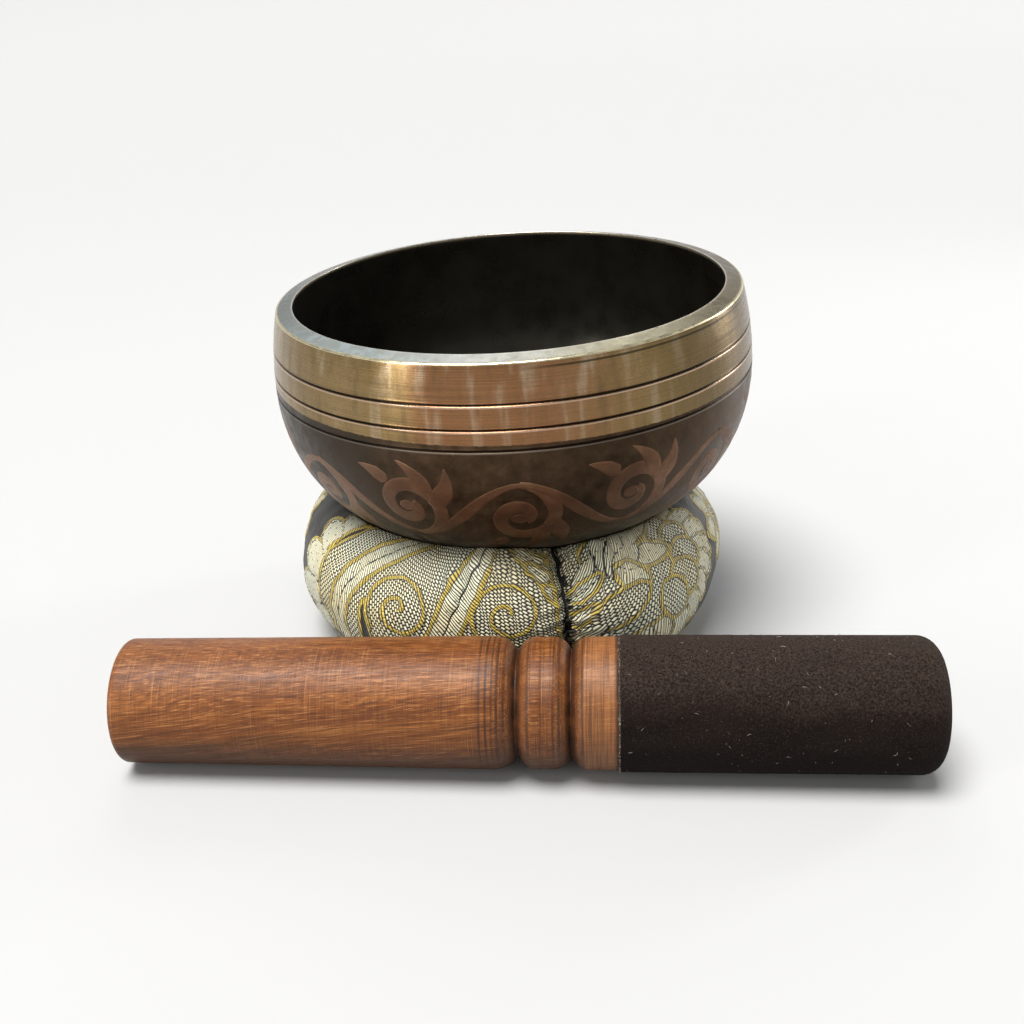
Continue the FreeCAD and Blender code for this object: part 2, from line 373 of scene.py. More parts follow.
def lathe_lines(paint, fine, strength):
    """Fine turning marks that run round the axis: noise stretched along the marks."""
    x, y, _ = paint.split(paint.vector("place"))
    _, along = paint.chart("turned")
    around = paint.stretched(paint.join(x, y, along), 0.03, 0.03, fine)
    marks = paint.noise(around, 1.0, detail=4.0, roughness=0.65)
    return marks, paint.bump(marks, strength * MM)


def bronze_outside():
    """Brushed bright band above a dark patina, with a slightly wandering border between, under
    painted reflections, highlights and shade.
    """
    paint = Paint("bronze_band_and_patina", Metallic=1.0, Anisotropic=0.8,
                  Anisotropic_Rotation=0.25)
    groove_shade = (0.018, 0.012, 0.009)
    lip_below = 0.50             # from a groove's middle to the lip thrown up under it, mm
    shade_line_depth = 1.7              # depth of the painted shade line below the rim's edge, mm
    place = paint.vector("place")
    x, _, z = paint.split(place)
    marks, lines = lathe_lines(paint, 3.2, 0.012)
    tangent = paint.node("Tangent", direction_type="UV_MAP", uv_map="turned").outputs[0]
    paint.put(tangent, paint.shader.inputs["Tangent"])

    stain_and_shade = paint.noise(paint.stretched(place, 0.016, 0.016, 0.008), 1.0, detail=2.0)
    alloy = paint.ramp(stain_and_shade, (0.38, (0.29, 0.200, 0.090)), (0.52, (0.255, 0.170, 0.073)),
                       (0.64, (0.35, 0.25, 0.125)))
    front = paint.facing(place)
    # Painted reflection: a copper-brown patch on the front of the band, where the mallet's wood is
    # mirrored.
    painted_wood_reflection = paint.times(paint.span(front, 1.02, 1.50), paint.span(front, 2.02, 1.88))
    alloy = paint.mix(paint.times(painted_wood_reflection, 0.85), alloy, (0.255, 0.114, 0.053))
    # Painted reflections: long light and dark vertical streaks on the brushed band.
    reflection_streak = paint.noise(paint.stretched(place, 0.30, 0.30, 0.004), 1.0, detail=4.0)
    alloy = paint.over(alloy, (0.52, 0.43, 0.31), reflection_streak, 0.50, 0.72, 0.50)
    alloy = paint.over(alloy, (0.12, 0.085, 0.045), reflection_streak, 0.48, 0.30, 0.55)
    # Painted shade: the band darker on its right side and round the back.
    alloy = paint.over(alloy, (0.125, 0.086, 0.038), front, 1.25, 0.75, 0.80)
    dull = paint.noise(place, 0.5, detail=5.0, roughness=0.7)
    alloy = paint.over(alloy, (0.12, 0.085, 0.045), dull, 0.52, 0.75, 0.45)
    alloy = paint.over(alloy, (0.10, 0.068, 0.036), marks, 0.62, 0.30, 0.30)

    blotch = paint.noise(place, 0.28, detail=6.0, roughness=0.62)
    speck = paint.noise(place, 3.0, detail=3.0, roughness=0.7)
    patina = paint.ramp(blotch, (0.35, (0.042, 0.026, 0.015)), (0.55, (0.066, 0.041, 0.024)),
                        (0.72, (0.098, 0.062, 0.037)))
    # Painted light: the patina lighter and greyer on the left-front side.
    patina = paint.over(patina, (0.058, 0.049, 0.038), front, 1.75, 2.40, 0.60)
    patina = paint.over(patina, (0.15, 0.115, 0.085), speck, 0.62, 0.8, 0.30)
    scuff = paint.noise(paint.stretched(place, 0.9, 0.9, 0.25), 1.0, detail=4.0, roughness=0.75)
    patina = paint.over(patina, (0.17, 0.13, 0.10), scuff, 0.66, 0.74, 0.5)
    foot = paint.span(z, -41.0, -50.0, 0.0, 0.65)
    patina = paint.mix(paint.times(foot, paint.span(blotch, 0.3, 0.6)), patina,
                       (0.13, 0.125, 0.095))
    grains = paint.times(paint.specks(place, 0.9, 0.26), paint.span(z, -36.0, -48.0, 0.0, 0.5))
    patina = paint.mix(grains, patina, (0.26, 0.25, 0.20))

    border = paint.plus(PATINA_DEPTH, paint.times(x, 0.012))
    ragged = paint.times(paint.minus(paint.noise(place, 0.9, detail=4.0), 0.5), 0.5)
    below = paint.minus(paint.plus(paint.times(z, -1.0), ragged), border)
    dark = paint.span(below, -0.12, 0.12)
    # Painted shade in each groove's cut, and a painted highlight on the lip thrown up under it.
    for depth in GROOVE_DEPTHS:
        lip = paint.gap(z, -depth - lip_below)
        cut = paint.gap(z, -depth)
        alloy = paint.over(alloy, (0.60, 0.42, 0.31), lip, 0.26, 0.10, 0.70)
        alloy = paint.over(alloy, groove_shade, cut, 0.30, 0.16, 0.92)
        patina = paint.over(patina, groove_shade, cut, 0.30, 0.16, 0.9)
        patina = paint.over(patina, (0.20, 0.17, 0.14), lip, 0.25, 0.10, 0.6)
    # Painted shade: a dark line just below the rim's edge, from the front round by the right to the
    # back.
    under_rim_shade = paint.times(paint.span(paint.gap(z, -shade_line_depth), 0.34, 0.12, 0.0, 0.85),
                            paint.span(front, 1.60, 1.35))
    alloy = paint.mix(under_rim_shade, alloy, (0.035, 0.030, 0.018))
    colour = paint.mix(dark, alloy, patina)
    bright_rough = paint.span(marks, 0.3, 0.7, 0.20, 0.34)
    dark_rough = paint.span(blotch, 0.35, 0.65, 0.36, 0.52)
    roughness = paint.blend(dark, bright_rough, dark_rough)
    normal = paint.bump(paint.plus(blotch, paint.times(speck, 0.4)), 0.05 * MM, lines)
    return paint.finish(colour, roughness, normal)


def bronze_rim():
    """The coned top of the rim: turned, with painted reflections that change round it, and painted
    highlights along its edges.
    """
    paint = Paint("bronze_rim", Metallic=1.0)
    place = paint.vector("place")
    x, y, _ = paint.split(place)
    marks, lines = lathe_lines(paint, 4.0, 0.006)
    turned_x = paint.times(paint.minus(x, y), math.sqrt(0.5))
    turned_y = paint.times(paint.plus(x, y), math.sqrt(0.5))
    # Counted round from the back left, so that 0.375 is the front and 0.625 the right.
    bearing = paint.plus(paint.times(paint.calc("ARCTAN2", turned_y, turned_x), 0.5 / math.pi), 0.5)
    stain_and_shade = paint.noise(place, 0.10, detail=4.0, roughness=0.6)
    bearing = paint.plus(bearing, paint.times(paint.minus(stain_and_shade, 0.5), 0.06))
    # Painted reflections round the rim: cool grey on the left, brightest at the front, warmer and
    # darker towards the right and back.
    colour = paint.ramp(
        bearing, (0.0, (0.18, 0.17, 0.16)), (0.12, (0.11, 0.125, 0.115)),
        (0.27, (0.19, 0.205, 0.195)), (0.36, (0.38, 0.365, 0.325)), (0.45, (0.34, 0.295, 0.19)),
        (0.56, (0.22, 0.17, 0.095)), (0.66, (0.12, 0.09, 0.055)), (0.85, (0.10, 0.085, 0.07)),
        (1.0, (0.20, 0.19, 0.18)))
    smudge = paint.noise(place, 0.35, detail=5.0, roughness=0.6)
    colour = paint.over(colour, (0.24, 0.21, 0.15), smudge, 0.5, 0.7, 0.40)
    colour = paint.over(colour, (0.18, 0.15, 0.10), marks, 0.60, 0.8, 0.5)
    out = paint.node("VectorMath", {0: paint.join(x, y)}, operation="LENGTH").outputs["Value"]
    # Painted highlights along the rim's outer and inner edges.
    colour = paint.over(colour, (0.78, 0.69, 0.45), out,
                        RIM_RADIUS - 0.75, RIM_RADIUS - 0.35, 0.85)
    colour = paint.over(colour, (0.55, 0.50, 0.40), out,
                        RIM_INNER_RADIUS + 0.42, RIM_INNER_RADIUS + 0.18, 0.60)
    nick = paint.times(paint.specks(place, 0.22, 0.16),
                       paint.span(out, RIM_INNER_RADIUS + 0.9, RIM_INNER_RADIUS + 0.5))
    colour = paint.mix(paint.times(nick, 0.8), colour, (0.03, 0.025, 0.02))
    return paint.finish(colour, paint.span(smudge, 0.35, 0.65, 0.24, 0.38), lines)


def bronze_inside():
    """The hollow, left dark, with faint turning marks, a painted highlight on its floor, and a thin
    bright line under the rim painted as a highlight.
    """
    paint = Paint("bronze_inside", Metallic=0.7, Specular_IOR_Level=0.4)
    place = paint.vector("place")
    _, _, z = paint.split(place)
    marks, lines = lathe_lines(paint, 1.6, 0.012)
    blotch = paint.noise(place, 0.12, detail=4.0, roughness=0.5)
    colour = paint.ramp(blotch, (0.30, (0.022, 0.0205, 0.0155)), (0.70, (0.036, 0.033, 0.025)))
    colour = paint.over(colour, (0.045, 0.038, 0.030), marks, 0.55, 0.75, 0.25)
    # Painted highlight: the floor of the hollow lighter.
    colour = paint.over(colour, (0.062, 0.055, 0.046), z, -34.0, -46.0, 0.8)
    # Painted highlight: a thin bright line round the inner edge under the rim.
    colour = paint.over(colour, (0.42, 0.34, 0.24), z, -0.5, 0.2, 0.85)
    roughness = paint.span(blotch, 0.30, 0.70, 0.25, 0.34)
    return paint.finish(colour, roughness, paint.bump(blotch, 0.05 * MM, lines))


BOWL_STEPS = 384                # faces once round


def make_bowl():
    outline, rim_start, outside_start = bowl_outline()
    points, faces, face_steps, corners = spun(outline, BOWL_STEPS)
    slots = np.where(face_steps < rim_start, 0, np.where(face_steps < outside_start, 1, 2))
    bowl = make_piece("singing_bowl", points, faces, bowl_place(),
                      [bronze_inside(), bronze_rim(), bronze_outside()], slots)
    add_chart(bowl, "turned", corners)
    settle(bowl, "bowl", "bronze", "bowl")


SCROLL_WAVES = 7                # periods of the running scroll round the bowl
SCROLL_MIDDLE = 16.0            # millimetres down the side from the widest line
SCROLL_SWING = 8.2
SCROLL_RELIEF = 0.03
SCROLL_SUNK = -0.10             # a stroke's side walls end this far inside the bowl's side


def brush_stroke(line, width, blunt, fine):
    """Outline widths along a line: swelling from a blunt start and running out to a fine end."""
    share = np.linspace(0, 1, len(line))
    swell = np.minimum(1, blunt + share / 0.18) * np.minimum(1, fine + (1 - share) / 0.55)
    return line, width / 2 * np.minimum(swell, 1) ** 0.8


def scroll_stem():
    """The waving stem, once round the bowl, with its half widths and the way it runs."""
    count = SCROLL_WAVES * 60
    length = 2 * math.pi * BOWL_RADIUS
    run = np.arange(count) * length / count
    wave = 2 * math.pi * SCROLL_WAVES / length
    line = np.stack([run, SCROLL_MIDDLE - SCROLL_SWING * np.sin(wave * run)], axis=1)
    way = np.stack([np.ones(count), -SCROLL_SWING * wave * np.cos(wave * run)], axis=1)
    return line, 1.10 + 0.42 * np.cos(2 * wave * run), way


def scroll_leaves():
    """The coils, leaves and buds of one wave, as lines of (mm round, mm down) with half widths."""
    period = 2 * math.pi * BOWL_RADIUS / SCROLL_WAVES
    strokes = []
    for crest, up in ((0.25 * period, 1), (0.75 * period, -1)):
        middle = (crest, SCROLL_MIDDLE + 1.4 * up)
        share = np.linspace(0, 1, 46)
        turn = math.radians(90) - share * math.radians(495)
        reach = SCROLL_SWING * (1.20 - 1.00 * share ** 0.85)
        coil = np.stack([reach * np.cos(turn), -reach * np.sin(turn) * up], axis=1)
        strokes.append(brush_stroke(coil + middle, 3.6, 0.4, 0.5))
        for begin, bend, tip, width in (
                ((5.6, 1.6), (11.4, 5.2), (10.6, 14.0), 4.8),
                ((5.0, 3.6), (6.0, 10.4), (-1.0, 15.6), 4.2),
                ((-4.2, 8.0), (-6.6, 11.2), (-11.4, 12.6), 3.4)):
            begin, bend, tip = (np.array(spot) for spot in (begin, bend, tip))
            s = np.linspace(0, 1, 26)[:, None]
            leaf = (1 - s) ** 2 * begin + 2 * s * (1 - s) * bend + s ** 2 * tip
            shorter = 1.0 if up > 0 else 0.80
            strokes.append(brush_stroke(leaf * (1, up * shorter) + middle, width, 0.15, 0.02))
        bud = np.stack([np.linspace(-2.0, 2.0, 12), np.zeros(12)], axis=1)
        half = 1.6 * np.sqrt(np.clip(1 - np.linspace(-1, 1, 12) ** 2, 0.02, 1))
        strokes.append((bud + (crest - 0.4, SCROLL_MIDDLE + 1.6 * up), half))
    return strokes


def on_underside(spots, lift):
    """Points on the bowl's side from (mm round at the widest line, mm down from it)."""
    meridian = underside(BOWL_RADIUS, BOWL_DEPTH, 200)
    along = arc_lengths(meridian)
    slope = np.gradient(meridian, along, axis=0)
    radius, height = (np.interp(spots[:, 1], along, meridian[:, k]) for k in (0, 1))
    out, up = (np.interp(spots[:, 1], along, k) for k in (-slope[:, 1], slope[:, 0]))
    turn = spots[:, 0] / BOWL_RADIUS
    radius = radius + out * lift
    return np.stack([radius * np.cos(turn), radius * np.sin(turn), height + up * lift], axis=1)


def scroll_copper():
    """Copper showing where the patina is cut away: brown, brushed, darker in the hollows, with
    painted light on its left-front side.
    """
    paint = Paint("scroll_copper", Metallic=0.9)
    place = paint.vector("place")
    tone = paint.noise(place, 0.18, detail=4.0)
    colour = paint.ramp(tone, (0.36, (0.110, 0.056, 0.031)), (0.55, (0.150, 0.076, 0.041)),
                        (0.70, (0.200, 0.108, 0.062)))
    brushed = paint.noise(paint.stretched(place, 0.3, 0.3, 5.0), 1.0, detail=4.0, roughness=0.7)
    colour = paint.over(colour, (0.24, 0.140, 0.085), brushed, 0.52, 0.72, 0.35)
    # Painted light: the copper lighter on the left-front side.
    colour = paint.over(colour, (0.24, 0.155, 0.105), paint.facing(place), 1.75, 2.40, 0.6)
    worn = paint.noise(place, 1.1, detail=5.0, roughness=0.7)
    colour = paint.over(colour, (0.060, 0.043, 0.030), worn, 0.62, 0.76, 0.6)
    return paint.finish(colour, paint.span(worn, 0.3, 0.7, 0.42, 0.58),
                        paint.bump(brushed, 0.02 * MM))


def make_scroll():
    """The ornament round the bowl's side: thin raised strokes, in a band of leaf scrolls."""
    period = 2 * math.pi * BOWL_RADIUS / SCROLL_WAVES
    profile = [(across, SCROLL_RELIEF) for across in (-0.93, -0.5, 0.0, 0.5, 0.93)]
    profile = [(-1.0, SCROLL_SUNK), (-0.985, 0.0), *profile, (0.985, 0.0), (1.0, SCROLL_SUNK)]
    wide = len(profile)
    points, faces = [], []

    def add_stroke(line, half, way, closed):
        side = np.stack([-way[:, 1], way[:, 0]], axis=1)
        side /= np.linalg.norm(side, axis=1, keepdims=True)
        rows = [on_underside(line + side * (half * across)[:, None], lift)
                for across, lift in profile]
        first, count = len(points), len(line)
        points.extend(np.stack(rows, axis=1).reshape(-1, 3).tolist())
        for i in range(count if closed else count - 1):
            a, b = first + i * wide, first + (i + 1) % count * wide
            for k in range(wide):
                m = (k + 1) % wide
                faces.append((a + k, b + k, b + m, a + m))
        if not closed:
            faces.append(tuple(range(first, first + wide)))
            faces.append(tuple(range(first + (count - 1) * wide, first + count * wide))[::-1])

    add_stroke(*scroll_stem(), closed=True)
    for wave in range(SCROLL_WAVES):
        for line, half in scroll_leaves():
            add_stroke(line + (wave * period, 0), half, np.gradient(line, axis=0), closed=False)
    scroll = make_piece("bowl_scroll_band", points, faces, bowl_place(), [scroll_copper()])
    settle(scroll, "bowl", "bronze")


# ---------------------------------------------------------------- mallet

MALLET_LENGTH = 175.6
HANDLE_END_RADIUS = 13.6
HANDLE_RADIUS = 14.3
COLLAR_RADIUS = 14.2
BEAD_RADIUS = 14.0
GROOVE_BOTTOM_RADIUS = 11.3
HANDLE_STOP = -6.8
FIRST_GROOVE = -1.0
BEAD_TOP = 4.8
SECOND_GROOVE = 10.6
COLLAR_START = 13.6
SLEEVE_START = 20.5
SLEEVE_RADIUS = 14.6
SUEDE = 1.6
HANDLE_END_ROUND = 1.4
CORE_SHOULDER = 3.0
LIP_RADIUS = 8.5
SUEDE_SEAM = 0.4
SUEDE_SEAM_ANGLE = -25.0
NAP_ROUGHNESS = 0.035           # how unevenly the suede's surface lies
EDGE_FRAY = 0.10                # and its cut edge
GLUE_GAP = 0.02                 # between the wood and the suede's inner side
LINT_RADIUS = 0.035
LINT_ON_NAP, LINT_AT_EDGE = 190, 420
STICK_STEPS = 224               # faces once round
SUEDE_STEPS = 220


def mallet_place():
    """The mallet's own axes: Z along it towards the suede, origin at the middle of its length."""
    lie = (Matrix.Rotation(math.radians(MALLET_TURN), 3, "Z")
           @ Matrix.Rotation(math.radians(-MALLET_LEAN), 3, "Y")
           @ Matrix.Rotation(math.radians(90), 3, "Y"))
    low, high = local_box("mallet_suede_sleeve", lie)
    stick_low, _ = local_box("mallet_stick", lie)
    middle = Vector(((low[0] + high[0]) / 2, (low[1] + high[1]) / 2,
                     (stick_low[2] + high[2]) / 2))
    return Matrix.Translation(lie @ middle) @ lie.to_4x4()


def bulge(start, end, height, count):
    """A rounded stretch of outline between two points, without its end; height is its camber."""
    points = steps_between(start, end, count)
    run = np.asarray(end, float) - np.asarray(start, float)
    normal = np.array([run[1], -run[0]]) / np.hypot(*run)
    share = np.arange(count) / count
    return points + np.outer(4 * height * share * (1 - share), normal)


def turned_outline():
    """The stick's outline as (radius, station) points, from the handle's end to the core's end."""
    left = -MALLET_LENGTH / 2
    right = MALLET_LENGTH / 2 - SUEDE
    core = SLEEVE_RADIUS - SUEDE
    corner = np.linspace(0, math.pi / 2, 7)
    end_corner = np.stack([
        HANDLE_END_RADIUS - HANDLE_END_ROUND * (1 - np.sin(corner)),
        left + HANDLE_END_ROUND * (1 - np.cos(corner))], axis=1)
    shoulder = np.linspace(0, math.pi / 2, 9)
    core_corner = np.stack([
        core - CORE_SHOULDER * (1 - np.cos(shoulder)),
        right - CORE_SHOULDER * (1 - np.sin(shoulder))], axis=1)
    first = (GROOVE_BOTTOM_RADIUS, FIRST_GROOVE)
    second = (GROOVE_BOTTOM_RADIUS, SECOND_GROOVE)
    return np.vstack([
        steps_between((0, left), end_corner[0], 12),
        end_corner,
        steps_between(end_corner[-1], (HANDLE_RADIUS, HANDLE_STOP), 60)[1:],
        bulge((HANDLE_RADIUS, HANDLE_STOP), first, 0.9, 16),
        bulge(first, (BEAD_RADIUS, BEAD_TOP), 1.25, 18),
        bulge((BEAD_RADIUS, BEAD_TOP), second, 1.25, 18),
        bulge(second, (COLLAR_RADIUS, COLLAR_START), 0.55, 10),
        steps_between((COLLAR_RADIUS, COLLAR_START), (COLLAR_RADIUS, SLEEVE_START), 14),
        [(COLLAR_RADIUS, SLEEVE_START)],
        steps_between((core, SLEEVE_START), core_corner[0], 8),
        core_corner,
        [(0, right)]])


def turned_wood():
    """Reddish hardwood: slanting grain, pores, lathe scratches, dark rings at the grooves, and
    painted shade on the mallet's underside.
    """
    paint = Paint("turned_hardwood", Specular_IOR_Level=0.28)
    place = paint.vector("place")
    x, y, z = paint.split(place)
    dark_ring = (0.024, 0.009, 0.004)
    waver = paint.noise(paint.stretched(place, 0.03, 0.03, 0.008), 1.0)
    sway = paint.times(paint.minus(waver, 0.5), 10.0)
    grain_x = paint.plus(paint.plus(x, paint.times(z, 0.11)), sway)
    grain = paint.join(grain_x, y, paint.times(z, 0.035))
    broad = paint.noise(grain, 0.26, detail=4.0, roughness=0.55, distortion=0.4)
    fine = paint.noise(paint.stretched(grain, 1.0, 1.0, 1.4), 1.2, detail=5.0, roughness=0.65)
    hair = paint.noise(paint.stretched(grain, 1.0, 1.0, 0.8), 4.0, detail=3.0, roughness=0.6)
    pores = paint.noise(paint.stretched(grain, 1.0, 1.0, 2.2), 4.0, detail=2.0, roughness=0.5)
    colour = paint.ramp(broad, (0.30, (0.080, 0.022, 0.0050)), (0.43, (0.140, 0.040, 0.0080)),
                        (0.58, (0.190, 0.060, 0.0120)), (0.74, (0.270, 0.095, 0.0200)))
    colour = paint.over(colour, (0.090, 0.027, 0.0065), fine, 0.42, 0.68, 0.55)
    colour = paint.over(colour, (0.46, 0.205, 0.066), hair, 0.53, 0.68, 0.50)
    colour = paint.over(colour, (0.050, 0.016, 0.005), hair, 0.48, 0.34, 0.75)
    colour = paint.over(colour, (0.045, 0.016, 0.007), pores, 0.62, 0.70, 0.55)
    scratch = paint.noise(paint.stretched(place, 0.07, 0.07, 3.4), 1.0, detail=5.0, roughness=0.75)
    patchy = paint.span(paint.noise(place, 0.08, detail=3.0), 0.35, 0.65, 0.35, 1.0)
    bright = paint.times(paint.span(scratch, 0.52, 0.68, 0.0, 0.38), patchy)
    colour = paint.mix(bright, colour, (0.44, 0.215, 0.088))
    colour = paint.over(colour, (0.060, 0.020, 0.007), scratch, 0.47, 0.32, 0.60)
    # Painted shade: the wood darker towards the mallet's underside, with an uneven edge.
    painted_underside_shade = paint.plus(x, paint.times(paint.minus(broad, 0.5), 18.0))
    colour = paint.over(colour, (0.042, 0.015, 0.004), painted_underside_shade, 0.0, 8.0, 0.86)
    collar = paint.times(paint.span(z, SECOND_GROOVE + 1.0, COLLAR_START, 0.0, 0.32),
                         paint.span(z, SLEEVE_START + 2.0, SLEEVE_START + 1.0))
    colour = paint.mix(collar, colour, (0.37, 0.165, 0.065))
    uneven = paint.noise(place, 0.25, detail=4.0)
    for station, half_width, strength in (
            (HANDLE_STOP - 1.6, 0.35, 0.75), (HANDLE_STOP - 0.2, 0.40, 0.85),
            (HANDLE_STOP + 1.0, 0.30, 0.70), (HANDLE_STOP + 2.1, 0.45, 0.80),
            (HANDLE_STOP + 3.5, 0.40, 0.60), (FIRST_GROOVE, 1.7, 0.97),
            (FIRST_GROOVE + 2.6, 0.35, 0.60), (BEAD_TOP + 2.2, 0.35, 0.65),
            (BEAD_TOP + 3.4, 0.45, 0.75), (SECOND_GROOVE, 1.7, 0.97),
            (SECOND_GROOVE + 2.4, 0.45, 0.70), (SLEEVE_START - 0.3, 0.5, 0.75)):
        ring = paint.span(paint.gap(z, station), half_width, half_width * 0.25)
        ring = paint.times(ring, paint.span(uneven, 0.25, 0.60, strength * 0.45, strength))
        colour = paint.mix(ring, colour, dark_ring)
    rings = paint.noise(paint.stretched(place, 0.05, 0.05, 3.6), 1.0, detail=3.0)
    turned = paint.times(paint.span(z, HANDLE_STOP - 4, HANDLE_STOP),
                         paint.span(rings, 0.48, 0.62, 0.0, 0.65))
    colour = paint.mix(paint.times(turned, paint.span(z, SLEEVE_START, COLLAR_START, 0.75, 1.0)),
                       colour, (0.060, 0.022, 0.009))
    roughness = paint.span(fine, 0.35, 0.65, 0.40, 0.55)
    relief = paint.bump(pores, -0.05 * MM, paint.bump(scratch, 0.035 * MM))
    return paint.finish(colour, roughness, relief)


def make_stick():
    points, faces, _, corners = spun(turned_outline(), STICK_STEPS)
    stick = make_piece("mallet_turned_stick", points, faces, mallet_place(), [turned_wood()])
    add_chart(stick, "turned", corners)
    settle(stick, "mallet", "wood", "mallet_stick")


def sleeve_section():
    """The suede's closed section as (radius, station) points: outside first, then inside."""
    right = MALLET_LENGTH / 2
    core = SLEEVE_RADIUS - SUEDE
    bend = CORE_SHOULDER + SUEDE
    turn = np.linspace(0, math.pi / 2, 14)
    far_corner = np.stack([SLEEVE_RADIUS - bend * (1 - np.cos(turn)),
                           right - bend * (1 - np.sin(turn))], axis=1)
    wood_end = right - SUEDE
    inner_corner = np.stack([core - CORE_SHOULDER * (1 - np.cos(turn)) + GLUE_GAP,
                             wood_end - CORE_SHOULDER * (1 - np.sin(turn))], axis=1)[::-1]
    near_edge = [(core + GLUE_GAP, SLEEVE_START), (SLEEVE_RADIUS - 0.5, SLEEVE_START),
                 (SLEEVE_RADIUS - 0.15, SLEEVE_START + 0.12)]
    outside = np.vstack([
        near_edge,
        steps_between((SLEEVE_RADIUS, SLEEVE_START + 0.5), far_corner[0], 110),
        far_corner,
        steps_between(far_corner[-1], (LIP_RADIUS, right), 4)[1:],
        [(LIP_RADIUS + 0.2, right), (LIP_RADIUS, right - 0.3)]])
    inside = np.vstack([
        [(LIP_RADIUS, wood_end)],
        inner_corner,
        steps_between(inner_corner[-1], (core + GLUE_GAP, SLEEVE_START), 20)[1:]])
    return np.vstack([outside, inside]), len(outside)


def suede():
    """Very dark brown suede: short nap, brushed patches, pale flecks, a paler cut edge, and painted
    light on its top with painted shade on its underside.
    """
    paint = Paint("dark_suede", Sheen_Weight=0.035, Sheen_Roughness=0.5,
                  Sheen_Tint=(0.70, 0.50, 0.42), Specular_IOR_Level=0.08)
    place = paint.vector("place")
    x, _, z = paint.split(place)
    nap = paint.noise(place, 2.2, detail=6.0, roughness=0.8)
    brushed = paint.noise(paint.stretched(place, 0.10, 0.10, 0.05), 1.0, detail=4.0)
    colour = paint.ramp(nap, (0.34, (0.0016, 0.0010, 0.0008)), (0.52, (0.0070, 0.0043, 0.0034)),
                        (0.70, (0.026, 0.0165, 0.0130)))
    colour = paint.over(colour, (0.017, 0.011, 0.0085), brushed, 0.42, 0.66, 0.40)
    fleck = paint.noise(place, 4.5, detail=2.0, roughness=0.6)
    colour = paint.over(colour, (0.14, 0.110, 0.095), fleck, 0.64, 0.72, 0.55)
    edge = paint.span(paint.plus(z, paint.times(nap, 0.9)), SLEEVE_START + 1.0, SLEEVE_START + 0.55)
    colour = paint.mix(paint.times(edge, 0.60), colour, (0.16, 0.12, 0.095))
    # Painted light and shade: the suede paler on the mallet's top and darker on its underside.
    painted_shade = paint.plus(x, paint.times(paint.minus(brushed, 0.5), 16.0))
    painted_top_light = paint.ramp(nap, (0.40, (0.0045, 0.0030, 0.0023)), (0.62, (0.064, 0.044, 0.034)))
    colour = paint.over(colour, painted_top_light, painted_shade, -2.0, -14.0, 0.85)
    colour = paint.over(colour, (0.0014, 0.0011, 0.0010), painted_shade, 1.0, 9.0, 0.85)
    return paint.finish(colour, paint.span(nap, 0.3, 0.7, 0.88, 0.98),
                        paint.bump(nap, 0.35 * MM))


def make_sleeve():
    """The suede: its section swept round the stick, open at a narrow seam on the bowl's side."""
    section, outside_count = sleeve_section()
    rng = np.random.default_rng(SEED)
    steps = SUEDE_STEPS
    gap = SUEDE_SEAM / SLEEVE_RADIUS / 2
    # In the mallet's axes +X is down and +Y is the side of the bowl.
    seam = math.radians(90 + SUEDE_SEAM_ANGLE)
    angles = seam + np.linspace(gap, 2 * math.pi - gap, steps)
    count = len(section)
    radius = np.repeat(section[None, :, 0], steps, axis=0)
    nap = rng.normal(0, NAP_ROUGHNESS, (steps, outside_count))
    lumps = 0.06 * np.sin(3 * angles + 1.1)[:, None] * np.sin(section[:outside_count, 1] / 9.0)
    radius[:, 1:outside_count] += (nap + lumps)[:, 1:] * 0.8
    radius[:, :outside_count] = np.minimum(radius[:, :outside_count], SLEEVE_RADIUS + 0.02)
    height = np.repeat(section[None, :, 1], steps, axis=0)
    height[:, 1:3] += rng.normal(0, EDGE_FRAY, steps)[:, None]
    points = np.stack([radius * np.cos(angles)[:, None], radius * np.sin(angles)[:, None],
                       height], axis=-1).reshape(-1, 3)
    faces = [(i * count + j, i * count + (j + 1) % count,
              (i + 1) * count + (j + 1) % count, (i + 1) * count + j)
             for i in range(steps - 1) for j in range(count)]
    faces.append(tuple(range(count))[::-1])
    faces.append(tuple(range((steps - 1) * count, steps * count)))
    sleeve = make_piece("mallet_suede_wrap", points, faces, mallet_place(), [suede()])
    settle(sleeve, "mallet", "suede", "mallet_suede_sleeve")


def lint():
    """Pale loose fibres caught in the suede, greyer and browner by turns."""
    paint = Paint("suede_lint", Specular_IOR_Level=0.2)
    tone = paint.noise(paint.vector("place"), 0.9, detail=3.0)
    colour = paint.ramp(tone, (0.38, (0.10, 0.075, 0.062)), (0.62, (0.42, 0.39, 0.36)))
    return paint.finish(colour, paint.span(tone, 0.3, 0.7, 0.75, 0.95))


